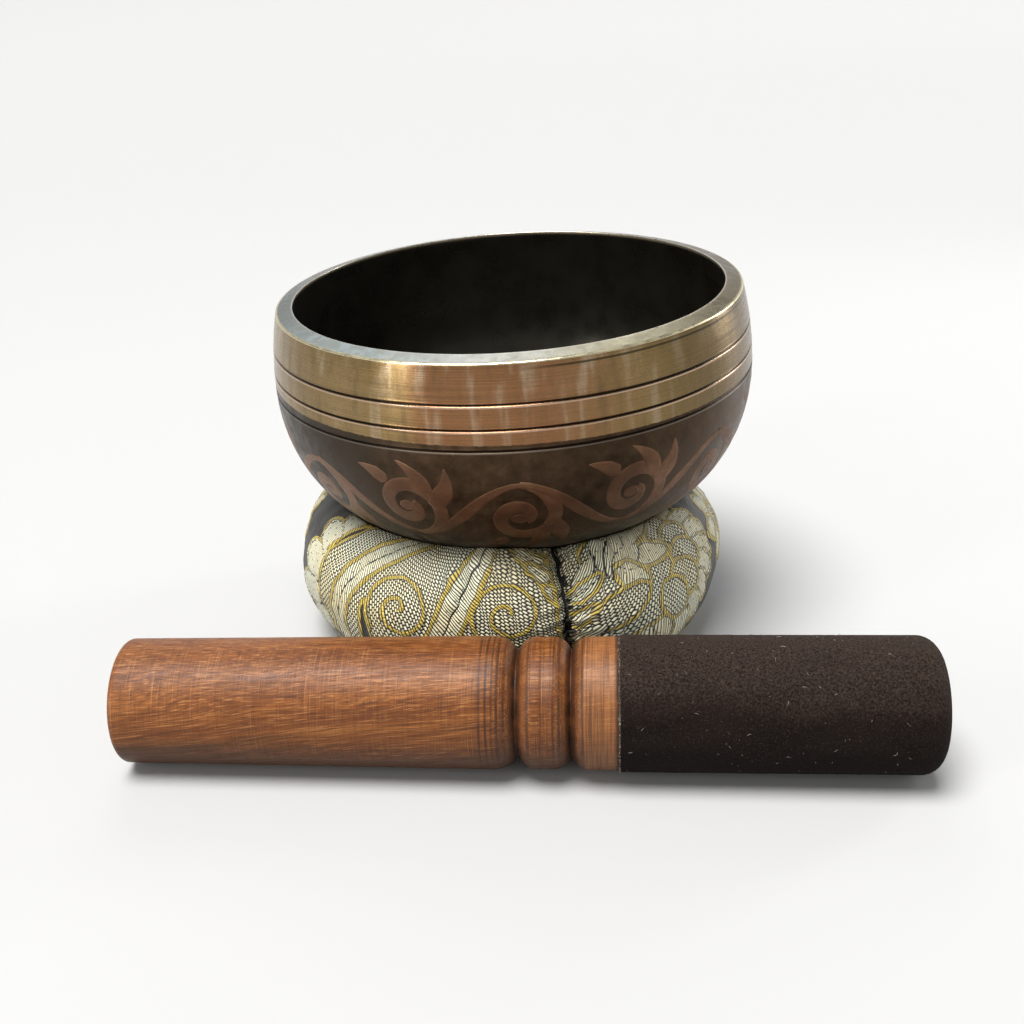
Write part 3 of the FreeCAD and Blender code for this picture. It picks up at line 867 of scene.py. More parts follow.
def make_lint():
    """Short curled fibres lying on the suede, and standing along its cut edge."""
    rng = np.random.default_rng(SEED + 1)
    share = np.linspace(0, 1, 5)
    paths = []
    for at_edge, count in ((False, LINT_ON_NAP), (True, LINT_AT_EDGE)):
        for _ in range(count):
            turn = rng.uniform(0, 2 * math.pi)
            heading = rng.uniform(0, 2 * math.pi)
            length = rng.uniform(0.25, 0.6) if at_edge else rng.uniform(0.1, 1.0) ** 2 * 1.3 + 0.08
            curl = rng.uniform(-1.6, 1.6)
            station = SLEEVE_START + rng.uniform(0.0, 0.35)
            if not at_edge:
                station = rng.uniform(SLEEVE_START + 1.0, MALLET_LENGTH / 2 - 6.0)
            way = heading + curl * share
            reach = length * share[1]
            run = np.concatenate([[[0, 0]], np.cumsum(
                np.stack([np.cos(way[1:]), np.sin(way[1:])], 1) * reach, axis=0)])
            out = SLEEVE_RADIUS - 0.02 + rng.uniform(0.02, 0.20) * np.sin(math.pi * share)
            round_it = turn + run[:, 0] / SLEEVE_RADIUS
            stations = station + run[:, 1] * (0.4 if at_edge else 1.0)
            paths.append(np.stack([out * np.cos(round_it), out * np.sin(round_it), stations], 1))
    tubes, faces, _ = thread_tubes(paths, LINT_RADIUS, sides=4)
    piece = make_piece("mallet_suede_lint", tubes, faces, mallet_place(), [lint()])
    settle(piece, "mallet", "suede")


# ---------------------------------------------------------------- ring cushion

RING_RADIUS = 36.0              # from the ring's middle to the middle of its tube
OUTER_RADIUS = 46.8             # to the part of the tube that the puckers are measured on
TUBE_HALF_WIDTH = 19.25
TUBE_HALF_HEIGHT = 20.6
TUBE_CENTRE_HEIGHT = 19.0
SEAT_GAP = 0.35                 # between the brocade and the bowl
TABLE_GAP = 0.02
COVER_THICKNESS = 0.8
THREAD_RADIUS = 0.3
STITCH_PITCH = 4.0
JOINT_SPANS = ((-48, 8), (172, 194), (216, 230))     # degrees round the tube
CLOSING_ANGLE = 205.0           # degrees round the tube, where the closing stitches lie
CLOSING_START = 10              # cloth squares from the joint to the first closing stitch
CLOSING_STEPS = 18              # and from one closing stitch to the next
JOINT_BEARING = -75.2           # degrees round the ring from +X, where its joint is
GATHER_ANGLE = math.pi * 1.12   # round the tube, where the closing seam gathers the cloth
JOINT_DRAW, CLOSING_DRAW = 0.17, 0.05        # how far each seam draws the tube in, as a share
COARSE = (136, 44)              # cloth squares along the ring and round the tube, for simulation
FINER = 4                       # each is divided this many times for the finished cover
CLOTH_RADIUS = 52.0             # the flat cloth's length is once round a circle of this radius
TUBE_SCALE = 20.0               # millimetres of cloth to a radian round the tube
RELAXED = 1.3                   # the simulated cloth settles this far inside the sewn size, mm
SEAM_CROWDING = 0.55            # how much closer the grid is at the seam
SHADE_REACH = 3.0                 # painted shadow darkens the brocade about this far from the bowl, mm
UNSTUFFED = 0.94                # size of the empty cover to the sewn ring's, before stuffing
CUT_FULL = 1.02                 # the cloth is cut this much fuller than the ring
STUFFING_STEPS = 24             # steps of the cloth simulation
SOLVER_SCALE = 0.01             # the cloth solver works on a ring of about a metre
MOST_SWELLING = 4.0             # how far the simulation may move the cloth, mm
FIGURE_RELIEF = 0.14            # how far the figures, their outlines and their ribs stand out, mm
OUTLINE_RELIEF = 0.20
RIB_RELIEF = -0.18
PLEAT_HEIGHT = 0.80             # of the fine pleats and the long folds beside the joint, mm
FOLD_HEIGHT = 0.35
GATHER_HEIGHT = 0.75            # of the gathers in the ring's hole, mm


def grid_angles(along, round_count):
    """Bearings along the ring, closer together at the seam, and angles round the tube."""
    t = np.arange(along) / along
    bearing = 2 * math.pi * t - SEAM_CROWDING * np.sin(2 * math.pi * t)
    return np.meshgrid(bearing, np.arange(round_count) * 2 * math.pi / round_count, indexing="ij")


def on_ring(bearing, angle, half_width, half_height):
    out = RING_RADIUS + half_width * np.cos(angle)
    turn = bearing + math.radians(JOINT_BEARING)
    height = TUBE_CENTRE_HEIGHT + half_height * np.sin(angle)
    return np.stack([out * np.cos(turn), out * np.sin(turn), height], axis=-1)


def from_seam(bearing):
    """Signed bearing from the seam, so that both sides of it are near zero."""
    return (bearing + math.pi) % (2 * math.pi) - math.pi


def sewn_ring(bearing, angle, fullness):
    """The ring as it is sewn, before stuffing swells it: drawn in at the joint and the hole."""
    near_joint = np.exp(-(from_seam(bearing) * RING_RADIUS / 5.0) ** 2)
    near_closing = np.exp(-((angle - GATHER_ANGLE) / 0.30) ** 2)
    size = fullness * (1 - JOINT_DRAW * near_joint) * (1 - CLOSING_DRAW * near_closing)
    return on_ring(bearing, angle, TUBE_HALF_WIDTH * size, TUBE_HALF_HEIGHT * size)


def press(points, place):
    """Push points out of the bowl, which dents the ring, and up from the table.

    Returns the points, and how many millimetres each one was from the bowl's side.
    """
    to_bowl = np.array(place.inverted())
    local = points @ to_bowl[:3, :3].T + to_bowl[:3, 3]
    radius = np.hypot(local[..., 0], local[..., 1])
    across = (BOWL_RADIUS + SEAT_GAP) - BASE_RADIUS
    down = (BOWL_DEPTH + SEAT_GAP) - WIDEST_DEPTH
    a = np.maximum(radius - BASE_RADIUS, 0) / across
    b = -(local[..., 2] + WIDEST_DEPTH) / down
    reach = np.maximum(np.hypot(a, b), 1e-6)
    inside = (reach < 1) & (b > 0)
    new_radius = np.where(radius > BASE_RADIUS, BASE_RADIUS + a / reach * across, radius)
    scale = np.where(inside, new_radius / np.maximum(radius, 1e-6), 1.0)
    local[..., 0] *= scale
    local[..., 1] *= scale
    local[..., 2] = np.where(inside, -WIDEST_DEPTH - b / reach * down, local[..., 2])
    back = np.array(place)
    pressed = local @ back[:3, :3].T + back[:3, 3]
    pressed[..., 2] = np.maximum(pressed[..., 2], TABLE_GAP)
    return pressed, np.maximum(reach - 1, 0) * down


def torus_faces(along, round_count):
    i, j = np.meshgrid(np.arange(along), np.arange(round_count), indexing="ij")
    k, m = (i + 1) % along, (j + 1) % round_count
    square = np.stack([i * round_count + j, k * round_count + j,
                       k * round_count + m, i * round_count + m], axis=-1)
    return square.reshape(-1, 4)


def stuffed(bearing, angle):
    """Simulate the cover being stuffed: cloth under pressure, held where it is sewn."""
    start = sewn_ring(bearing, angle, UNSTUFFED)
    rest = on_ring(bearing, angle, TUBE_HALF_WIDTH * CUT_FULL, TUBE_HALF_HEIGHT * CUT_FULL)
    rng = np.random.default_rng(SEED)
    start = start + rng.normal(0, 0.12, start.shape)
    mesh = bpy.data.meshes.new("cover_simulation")
    mesh.from_pydata((start.reshape(-1, 3) * SOLVER_SCALE).tolist(), [],
                     torus_faces(*bearing.shape).tolist())
    piece = bpy.data.objects.new("cover_simulation", mesh)
    bpy.context.scene.collection.objects.link(piece)
    piece.shape_key_add(name="Basis")
    key = piece.shape_key_add(name="cut")
    key.data.foreach_set("co", (rest.reshape(-1) * SOLVER_SCALE).astype(np.float32))
    held = piece.vertex_groups.new(name="sewn")
    joint = np.abs(from_seam(bearing)) < 1e-6
    closing = np.abs(angle - GATHER_ANGLE) < math.pi / bearing.shape[1]
    held.add(np.flatnonzero((joint | closing).ravel()).tolist(), 1.0, "REPLACE")
    cloth = piece.modifiers.new("stuffing", "CLOTH").settings
    cloth.rest_shape_key = key
    cloth.vertex_group_mass = "sewn"
    cloth.quality = 6
    cloth.mass = 0.3
    cloth.tension_stiffness = 20
    cloth.compression_stiffness = 20
    cloth.shear_stiffness = 6
    cloth.bending_stiffness = 0.15
    cloth.use_pressure = True
    cloth.uniform_pressure_force = 4.0
    cloth.effector_weights.gravity = 0.0
    scene = bpy.context.scene
    for step in range(1, STUFFING_STEPS + 1):
        scene.frame_set(step)
    solved = piece.evaluated_get(bpy.context.evaluated_depsgraph_get()).to_mesh()
    points = np.zeros(len(solved.vertices) * 3)
    solved.vertices.foreach_get("co", points)
    scene.frame_set(1)
    bpy.data.objects.remove(piece)
    bpy.data.meshes.remove(mesh)
    return points.reshape(start.shape) / SOLVER_SCALE


def finer_grid(grid, axis, times):
    """Smooth periodic interpolation of a grid along one axis, by the Catmull-Rom cubic."""
    p0, p1, p2, p3 = (np.roll(grid, shift, axis) for shift in (1, 0, -1, -2))
    layers = []
    for step in range(times):
        t = step / times
        layers.append(0.5 * (2 * p1 + (p2 - p0) * t + (2 * p0 - 5 * p1 + 4 * p2 - p3) * t ** 2
                             + (3 * p1 - p0 - 3 * p2 + p3) * t ** 3))
    woven = np.stack(layers, axis=axis + 1)
    shape = list(grid.shape)
    shape[axis] *= times
    return woven.reshape(shape)


def grid_normals(points):
    along = np.roll(points, -1, 0) - np.roll(points, 1, 0)
    around = np.roll(points, -1, 1) - np.roll(points, 1, 1)
    normal = np.cross(along, around)
    return normal / np.linalg.norm(normal, axis=-1, keepdims=True)


# The brocade's figures, in millimetres of cloth: u along the ring from the seam, v up round the
# tube from its outermost line. One row of figures goes along the ring REPEATS times, and ROWS
# rows go round the tube, each shifted by half a repeat.

REPEATS = 2
REPEAT = 2 * math.pi * CLOTH_RADIUS / REPEATS
ROWS = 3
ROW = 2 * math.pi * TUBE_SCALE / ROWS
ROW_START = -13.0
GROUND, FLECKED, SATIN = 0.0, 1.0, 2.0
FAR = 9.0                       # a distance beyond every outline's reach


def rounded(points, closed, rounds=3):
    """A smooth line through the neighbourhood of a few points, by cutting corners."""
    line = np.array(points, float)
    for _ in range(rounds):
        after = np.roll(line, -1, 0)
        cut = np.stack([0.75 * line + 0.25 * after, 0.25 * line + 0.75 * after], 1).reshape(-1, 2)
        line = cut if closed else np.vstack([line[:1], cut[:-2], line[-1:]])
    return line


def spoke(middle, turn, along, across):
    """The spot off a middle in the direction of turn, on an ellipse with those two reaches."""
    slant = math.radians(turn)
    return np.array(middle) + (along * math.cos(slant), across * math.sin(slant))


class Figures:
    """Paints figures on the cloth one over another, keeping the distance to the nearest outline."""

    def __init__(self, u, v):
        row = np.floor((v - ROW_START) / ROW)
        along = (u + row * REPEAT / 2 + REPEAT / 2) % REPEAT - REPEAT / 2
        self.spots = np.stack([along, v - row * ROW], axis=-1)
        self.kind = np.full(u.shape, GROUND)
        self.line = np.full(u.shape, FAR)
        self.rib = np.full(u.shape, FAR)

    def away_from(self, line, closed):
        """Distance to a line of points and, for a closed one, whether each spot is inside."""
        low, high = line.min(0) - FAR / 3, line.max(0) + FAR / 3
        near = ((self.spots > low) & (self.spots < high)).all(axis=-1)
        spots = self.spots[near]
        away = np.full(len(spots), FAR)
        inside = np.zeros(len(spots), bool)
        ends = np.roll(line, -1, 0) if closed else line[1:]
        for start, end in zip(line, ends):
            run = end - start
            share = np.clip((spots - start) @ run / (run @ run + 1e-9), 0, 1)
            away = np.minimum(away, np.linalg.norm(spots - start - share[:, None] * run, axis=1))
            crosses = (start[1] > spots[:, 1]) != (end[1] > spots[:, 1])
            edge = start[0] + (spots[:, 1] - start[1]) / (run[1] + 1e-9) * run[0]
            inside ^= crosses & (spots[:, 0] < edge)
        distance = np.full(self.kind.shape, FAR)
        distance[near] = away
        within = np.zeros(self.kind.shape, bool)
        within[near] = inside
        return distance, within

    def cover(self, distance, within, kind, gold=True):
        """Paint one figure, edged in gold or only with a dark parting line."""
        self.rib = np.where(within, FAR, self.rib)
        if gold:
            self.line = np.where(within, distance, np.minimum(self.line, distance))
        else:
            self.line = np.where(within, FAR, self.line)
            self.rib = np.minimum(self.rib, distance)
        self.kind = np.where(within, kind, self.kind)

    def patch(self, kind, *points):
        """A closed figure round a few points, outlined."""
        self.cover(*self.away_from(rounded(points, True), True), kind)

    def petal(self, kind, centre, length, width, turn, point=0.0, gold=True):
        """An oval figure, drawn to a point at its far end as far as point says."""
        around = np.linspace(0, 2 * math.pi, 18, endpoint=False)
        slim = 1 - point * (0.5 + 0.5 * np.cos(around)) ** 2
        shape = np.stack([length / 2 * np.cos(around), width / 2 * np.sin(around) * slim], 1)
        cos, sin = math.cos(math.radians(turn)), math.sin(math.radians(turn))
        outline = shape @ np.array([[cos, sin], [-sin, cos]]) + centre
        self.cover(*self.away_from(outline, True), kind, gold)

    def scallop(self, kind, centre, length, width, turn):
        """A petal with gold on its far side only, so that its neighbours meet it at a dark line."""
        self.petal(kind, centre, length, width, turn)
        inward = spoke(centre, turn, -0.10 * length, -0.10 * length)
        self.petal(kind, inward, length, width, turn, gold=False)

    def ribbon(self, width, *points):
        """A satin band along a line, tapered to its ends, with a dark rib along its middle."""
        line = rounded(points, False)
        share = np.linspace(0, 1, len(line))
        half = width / 2 * np.sin(math.pi * (0.14 + 0.72 * share)) ** 0.7
        run = np.gradient(line, axis=0)
        across = np.stack([-run[:, 1], run[:, 0]], 1) / np.linalg.norm(run, axis=1)[:, None]
        sides = np.vstack([line + across * half[:, None], (line - across * half[:, None])[::-1]])
        self.cover(*self.away_from(sides, True), SATIN)
        self.rib = np.minimum(self.rib, self.away_from(line[1:-1], False)[0])

    def curl(self, centre, radius, turns, start, hand=1):
        """A spiral outline wound in to a centre, on whatever is painted there."""
        share = np.linspace(0, 1, 44)
        angle = math.radians(start) + hand * 2 * math.pi * turns * share
        reach = radius * (1 - share) ** 0.8 + 0.5
        spiral = np.stack([reach * np.cos(angle), reach * np.sin(angle)], 1) + centre
        self.line = np.minimum(self.line, self.away_from(spiral, False)[0])

    def rule(self, *points):
        """A dark parting line, without gold."""
        self.rib = np.minimum(self.rib, self.away_from(rounded(points, False, 2), False)[0])


def left_figures(cloth):
    """A cloud of flecked cloth with two spirals, between satin ribbons."""
    for centre, turn in (((-64, 21), 112), ((-69, 15), 140), ((-72, 8), 165), ((-73, 0), 188),
                         ((-70, -8), 214)):
        cloth.scallop(SATIN, centre, 12, 8.5, turn)
    cloth.patch(FLECKED, (-65, -3), (-67, 7), (-64, 16), (-57, 22), (-44, 27), (-28, 26),
                (-12, 27), (3, 26), (5, 10), (2, -5), (-8, -12), (-22, -9), (-34, -12),
                (-45, -8), (-55, -12))
    cloth.patch(GROUND, (-60, 21.5), (-56, 23.5), (-60, 18), (-65.5, 12.5), (-66.5, 12.5))
    cloth.ribbon(6.2, (-31, 27), (-40, 22), (-49, 16), (-56.5, 7), (-59, -3), (-54, -13))
    cloth.patch(GROUND, (-50.5, 4), (-48.8, 6.2), (-48.2, 1), (-47, -4), (-45, -9), (-50, -8))
    cloth.ribbon(6.8, (-17, 27), (-21, 19), (-24.5, 11), (-27.5, 3), (-32, -6), (-40, -12))
    cloth.curl((-39.6, 5.2), 8.6, 1.62, 215, -1)
    cloth.curl((-14.2, 6.2), 8.0, 1.55, 225, -1)
    for centre, length, turn in (((-10, 23), 16, -20), ((-7, 18.5), 15, -27),
                                 ((-4.5, 14), 14, -36), ((-2, 8.6), 12, -47)):
        cloth.petal(SATIN, centre, length, 4.6, turn, 0.6)
        root, tip = (spoke(centre, turn, reach, reach) for reach in (-0.42 * length, 0.42 * length))
        cloth.rule(root, np.array(centre) + (0.2, 0.3), tip)


def right_figures(cloth):
    """A fan of scallops, satin outside and flecked within, round two broad leaves."""
    for turn in np.arange(68, -92, -14.5):
        cloth.scallop(SATIN, spoke((17, 9), turn, 25, 15.5), 13.5, 9.0, turn * 0.85)
    cloth.patch(FLECKED, (-4, 26), (12, 28), (28, 27), (36, 20), (37, 13), (34, 5), (27, 0),
                (16, -3), (6, -5), (-4, -2), (-3, 12))
    for turn in np.arange(66, -70, -24):
        cloth.petal(FLECKED, spoke((18, 11), turn, 17, 11), 10.5, 9.4, turn)
    cloth.petal(SATIN, (23, 21.5), 15, 7.0, 16, 0.3)
    cloth.petal(FLECKED, (10.5, 20.5), 12, 6.4, 40, 0.3)
    cloth.petal(SATIN, (24, 14.5), 14, 6.6, -6, 0.3)
    for turn, length in ((100, 11), (64, 12.5), (28, 11)):
        cloth.petal(SATIN, spoke((12, 12.5), turn, 5, 5), length, 6.2, turn, 0.2, gold=False)
    cloth.petal(SATIN, (17, 10.8), 10.5, 7.2, -28, 0.3)
    cloth.rule((14, 13.6), (17, 11.6), (20.5, 12.2))
    cloth.petal(SATIN, (5.5, 14.5), 10, 4.8, 48, 0.5, gold=False)
    cloth.petal(SATIN, (5, 10.6), 11, 4.8, 30, 0.6)
    cloth.rule((1.5, 8.8), (5, 10.5), (9, 12.6))
    cloth.petal(FLECKED, (13.0, 4.6), 16.5, 8.4, 22, 0.25)
    cloth.petal(SATIN, (3.4, 3.6), 9.5, 4.4, 36, 0.6)
    cloth.petal(SATIN, (4.6, -1.4), 9.5, 4.6, 26, 0.5, gold=False)
    cloth.petal(SATIN, (6.5, -6.0), 10, 5.0, 14, 0.5)


def far_figures(cloth):
    """A round flower where the two groups leave black cloth between them."""
    for turn in range(0, 360, 45):
        cloth.petal(SATIN, spoke((63, 9), turn, 8.2, 8.2), 9.5, 6.6, turn, 0.3)
    cloth.petal(FLECKED, (63, 9), 8.5, 8.5, 0)
    cloth.curl((63, 9), 3.2, 1.2, 40)


def paint_brocade(u, v):
    cloth = Figures(u, v)
    far_figures(cloth)
    left_figures(cloth)
    right_figures(cloth)
    tooth = np.abs((v / 2.3 + 0.35 * np.sign(u)) % 1.0 - 0.5) * 2
    torn = 0.35 + 1.7 * tooth * (0.55 + 0.45 * np.sin(0.9 * v + 1.3 * np.sign(u)))
    cloth.kind = np.where(np.abs(u) < torn, GROUND, cloth.kind)
    cloth.line = np.where(np.abs(u) < torn, FAR, cloth.line)
    return cloth


def ease(share):
    share = np.clip(share, 0, 1)
    return share * share * (3 - 2 * share)


SLANT_LEFT = 48.0               # degrees, at the seam
SLANT_RIGHT = 46.0
THREAD = 0.62                   # width of one silk float, mm
FLECK = 1.22                    # from one dark fleck to the next along a float


def weave_chart(u, v):
    """Thread coordinates: threads run straight up far from the seam, and slant down into it."""
    stations = np.linspace(-170.0, 170.0, 1361)
    left = SLANT_LEFT * ease((stations + 64) / 50)
    right = SLANT_RIGHT * ease((26 - stations) / 24)
    slant = np.radians(np.where(stations < 0, left, -right))
    step = stations[1] - stations[0]
    start = len(stations) // 2
    across = np.cumsum(np.cos(slant)) * step
    drop = np.cumsum(np.sin(slant)) * step
    turn = np.interp(u, stations, slant)
    rise = np.clip(v - 8.0, -15.0, 15.0)
    beyond = v - 8.0 - rise
    column = np.interp(u, stations, across - across[start]) + np.sin(turn) * rise
    along = np.cos(turn) * rise + beyond - np.interp(u, stations, drop - drop[start])
    return column + 0.25 * np.sin(v / 3.1 + u / 9.0), along


def brocade():
    """Ivory floats with dark flecks, plain satin and gold outlines, woven on a black ground, with
    painted shadow near the bowl.
    """
    paint = Paint("brocade_weave", Specular_IOR_Level=0.55, Sheen_Weight=0.02,
                  Sheen_Roughness=0.4)
    u, v = paint.chart("weave")
    place = paint.vector("place")
    kind, line, rib = (paint.number(name) for name in ("figure", "outline", "rib"))
    column = paint.times(u, 1 / THREAD)
    which = paint.calc("FLOOR", column)
    crown = paint.span(paint.gap(paint.calc("FRACT", column), 0.5), 0.5, 0.10)
    fleck = paint.calc("FRACT", paint.plus(paint.times(v, 1 / FLECK), paint.times(which, 0.5)))
    fleck = paint.span(paint.gap(fleck, 0.5), 0.24, 0.10)
    end = paint.calc("FRACT", paint.plus(paint.times(v, 1 / 9.0), paint.times(which, 0.381)))
    end = paint.span(paint.gap(end, 0.5), 0.030, 0.010, 0.0, 0.7)
    satin = paint.span(kind, 1.35, 1.65)
    figured = paint.span(kind, 0.35, 0.65)
    dip = paint.blend(satin, fleck, end)
    gold = paint.span(line, 0.47, 0.37)
    bound = paint.times(paint.span(line, 0.38, 0.50), paint.span(line, 0.74, 0.60))
    dark_rib = paint.span(rib, 0.28, 0.16)

    tint = paint.noise(place, 0.07, detail=2.0)
    ivory = paint.ramp(tint, (0.36, (0.82, 0.82, 0.62)), (0.50, (0.93, 0.88, 0.62)),
                       (0.64, (0.90, 0.80, 0.47)))
    strand = paint.noise(paint.join(paint.times(which, 0.73), paint.times(v, 0.12)), 1.0)
    ivory = paint.over(ivory, (0.46, 0.45, 0.27), strand, 0.50, 0.70, 0.35)
    yellow = paint.ramp(strand, (0.35, (0.50, 0.36, 0.045)), (0.60, (0.74, 0.56, 0.105)))
    base = (0.010, 0.009, 0.007)
    lit = paint.span(crown, 0.12, 0.80)
    ground = paint.mix(crown, (0.0045, 0.0040, 0.0040), (0.016, 0.014, 0.0125))
    woven = paint.mix(lit, base, ivory)
    woven = paint.mix(paint.times(dip, 0.95), woven, base)
    colour = paint.mix(figured, ground, woven)
    colour = paint.mix(paint.times(bound, 0.85), colour, base)
    colour = paint.mix(gold, colour, paint.mix(lit, base, yellow))
    colour = paint.mix(paint.times(dark_rib, paint.minus(1.0, gold)), colour, base)
    # Painted shadow on the brocade round the bowl's seat, mottled and fading out within a few
    # millimetres.
    stain_and_shade = paint.times(paint.number("painted_shade"), paint.span(tint, 0.35, 0.65, 0.30, 0.75))
    colour = paint.mix(stain_and_shade, colour, (0.030, 0.027, 0.018))
    height = paint.times(crown, paint.minus(1.0, paint.times(dip, 0.8)))
    height = paint.times(height, paint.blend(figured, 0.4, 1.0))
    fuzz = paint.noise(place, 4.0, detail=3.0, roughness=0.7)
    roughness = paint.plus(paint.blend(satin, 0.44, 0.30), paint.times(fuzz, 0.1))
    return paint.finish(colour, roughness, paint.bump(height, 0.17 * MM))


def make_cover(bowl_frame):
    coarse_bearing, coarse_angle = grid_angles(*COARSE)
    plain = on_ring(coarse_bearing, coarse_angle, TUBE_HALF_WIDTH, TUBE_HALF_HEIGHT)
    swollen = stuffed(coarse_bearing, coarse_angle)
    offset = swollen - plain
    far = np.linalg.norm(offset, axis=-1, keepdims=True)
    offset *= np.minimum(1.0, MOST_SWELLING / np.maximum(far, 1e-6))
    offset = finer_grid(finer_grid(offset, 0, FINER), 1, FINER)
    along, round_count = COARSE[0] * FINER, COARSE[1] * FINER
    bearing, angle = grid_angles(along, round_count)
    points = on_ring(bearing, angle, TUBE_HALF_WIDTH, TUBE_HALF_HEIGHT) + offset

    s = from_seam(bearing)
    u = s * CLOTH_RADIUS
    v = ((angle + math.pi) % (2 * math.pi) - math.pi) * TUBE_SCALE
    cloth = paint_brocade(u, v)
    lift = RELAXED + puckers(s, bearing, angle, v)
    lift += FIGURE_RELIEF * np.clip(cloth.kind, 0, 1)
    lift += OUTLINE_RELIEF * np.exp(-(cloth.line / 0.5) ** 2)
    lift += RIB_RELIEF * np.exp(-(cloth.rib / 0.35) ** 2)
    points = points + grid_normals(points) * lift[..., None]
    points, from_bowl = press(points, bowl_frame)

    faces = torus_faces(along, round_count)
    cover = make_piece("cushion_brocade_cover", points.reshape(-1, 3), faces.tolist(),
                       Matrix.Identity(4), [brocade()])
    # Painted shadow on the brocade: strongest where the bowl sits, fading away from it.
    painted_shade = np.exp(-from_bowl / SHADE_REACH)
    for name, field in (("figure", cloth.kind), ("outline", cloth.line), ("rib", cloth.rib),
                        ("painted_shade", painted_shade)):
        add_number(cover, name, field.ravel())
    corner = np.stack([u, v], axis=-1).reshape(-1, 2)[faces]
    for axis, length in ((0, 2 * math.pi * CLOTH_RADIUS), (1, 2 * math.pi * TUBE_SCALE)):
        first = corner[:, :1, axis]
        corner[..., axis] -= np.round((corner[..., axis] - first) / length) * length
    add_chart(cover, "weave", np.stack(weave_chart(corner[..., 0], corner[..., 1]), axis=-1))
    settle(cover, "cushion", "brocade", "cushion_cover")
    make_wadding(points)
    make_stitches(angle, points)


def wadding():
    """Pale cotton wadding: soft clumps and loose fibres."""
    paint = Paint("cotton_wadding", Sheen_Weight=0.3, Specular_IOR_Level=0.1)
    place = paint.vector("place")
    clump = paint.noise(place, 0.35, detail=5.0, roughness=0.6)
    fibre = paint.noise(paint.stretched(place, 1.0, 4.0, 4.0), 1.2, detail=4.0, roughness=0.7)
    colour = paint.ramp(clump, (0.35, (0.58, 0.56, 0.50)), (0.65, (0.80, 0.79, 0.74)))
    return paint.finish(colour, paint.span(fibre, 0.3, 0.7, 0.85, 0.98),
                        paint.bump(fibre, 0.3 * MM))


def make_wadding(cover_points):
    """The stuffing, drawn in from the cover by the cloth's thickness."""
    coarse = cover_points[::FINER, ::FINER]
    drawn_in = coarse - grid_normals(coarse) * COVER_THICKNESS
    drawn_in[..., 2] = np.maximum(drawn_in[..., 2], TABLE_GAP + COVER_THICKNESS)
    piece = make_piece("cushion_wadding", drawn_in.reshape(-1, 3),
                       torus_faces(*coarse.shape[:2]).tolist(), Matrix.Identity(4), [wadding()])
    settle(piece, "cushion", "stuffing", "cushion_stuffing")


def sewing_thread():
    """Waxed black thread of twisted strands."""
    paint = Paint("sewing_thread", Specular_IOR_Level=0.4)
    round_thread, along = paint.chart("thread")
    twist = paint.calc("SINE", paint.plus(paint.times(round_thread, 6.28318),
                                          paint.times(along, 9.0)))
    strand = paint.span(twist, -0.8, 0.9)
    wear = paint.noise(paint.vector("place"), 1.5, detail=3.0)
    colour = paint.mix(strand, (0.008, 0.007, 0.006), (0.045, 0.040, 0.034))
    colour = paint.over(colour, (0.10, 0.09, 0.07), wear, 0.55, 0.75, 0.4)
    return paint.finish(colour, paint.span(strand, 0.0, 1.0, 0.7, 0.45),
                        paint.bump(strand, 0.05 * MM))


NO_THREAD_RUNS_HERE = (0.31, 0.22, 0.92)     # a direction to measure the threads' turns from


def thread_tubes(paths, radius, sides=8):
    """Closed round threads along paths of points, with a chart of (turn, mm along)."""
    points, faces, corners = [], [], []
    for path in paths:
        run = np.gradient(path, axis=0)
        run /= np.linalg.norm(run, axis=1, keepdims=True)
        across = np.cross(run, NO_THREAD_RUNS_HERE)
        across /= np.linalg.norm(across, axis=1, keepdims=True)
        up = np.cross(across, run)
        along = np.concatenate([[0], np.cumsum(np.linalg.norm(np.diff(path, axis=0), axis=1))])
        taper = radius * np.minimum(1, 0.55 + 0.9 * np.sin(np.linspace(0, math.pi, len(path))))
        first = len(points)
        for spot, side, rise, wide in zip(path, across, up, taper):
            for k in range(sides):
                turn = 2 * math.pi * k / sides
                points.append(spot + wide * (side * math.cos(turn) + rise * math.sin(turn)))
        for i in range(len(path) - 1):
            for k in range(sides):
                a, b = first + i * sides, first + (i + 1) * sides
                m = (k + 1) % sides
                faces.append((a + k, a + m, b + m, b + k))
                corners += [(k / sides, along[i]), ((k + 1) / sides, along[i]),
                            ((k + 1) / sides, along[i + 1]), (k / sides, along[i + 1])]
        for start, order in ((first, -1), (first + (len(path) - 1) * sides, 1)):
            faces.append(tuple(range(start, start + sides))[::order])
            corners += [(0.5, 0.0)] * sides
    return np.array(points), faces, corners


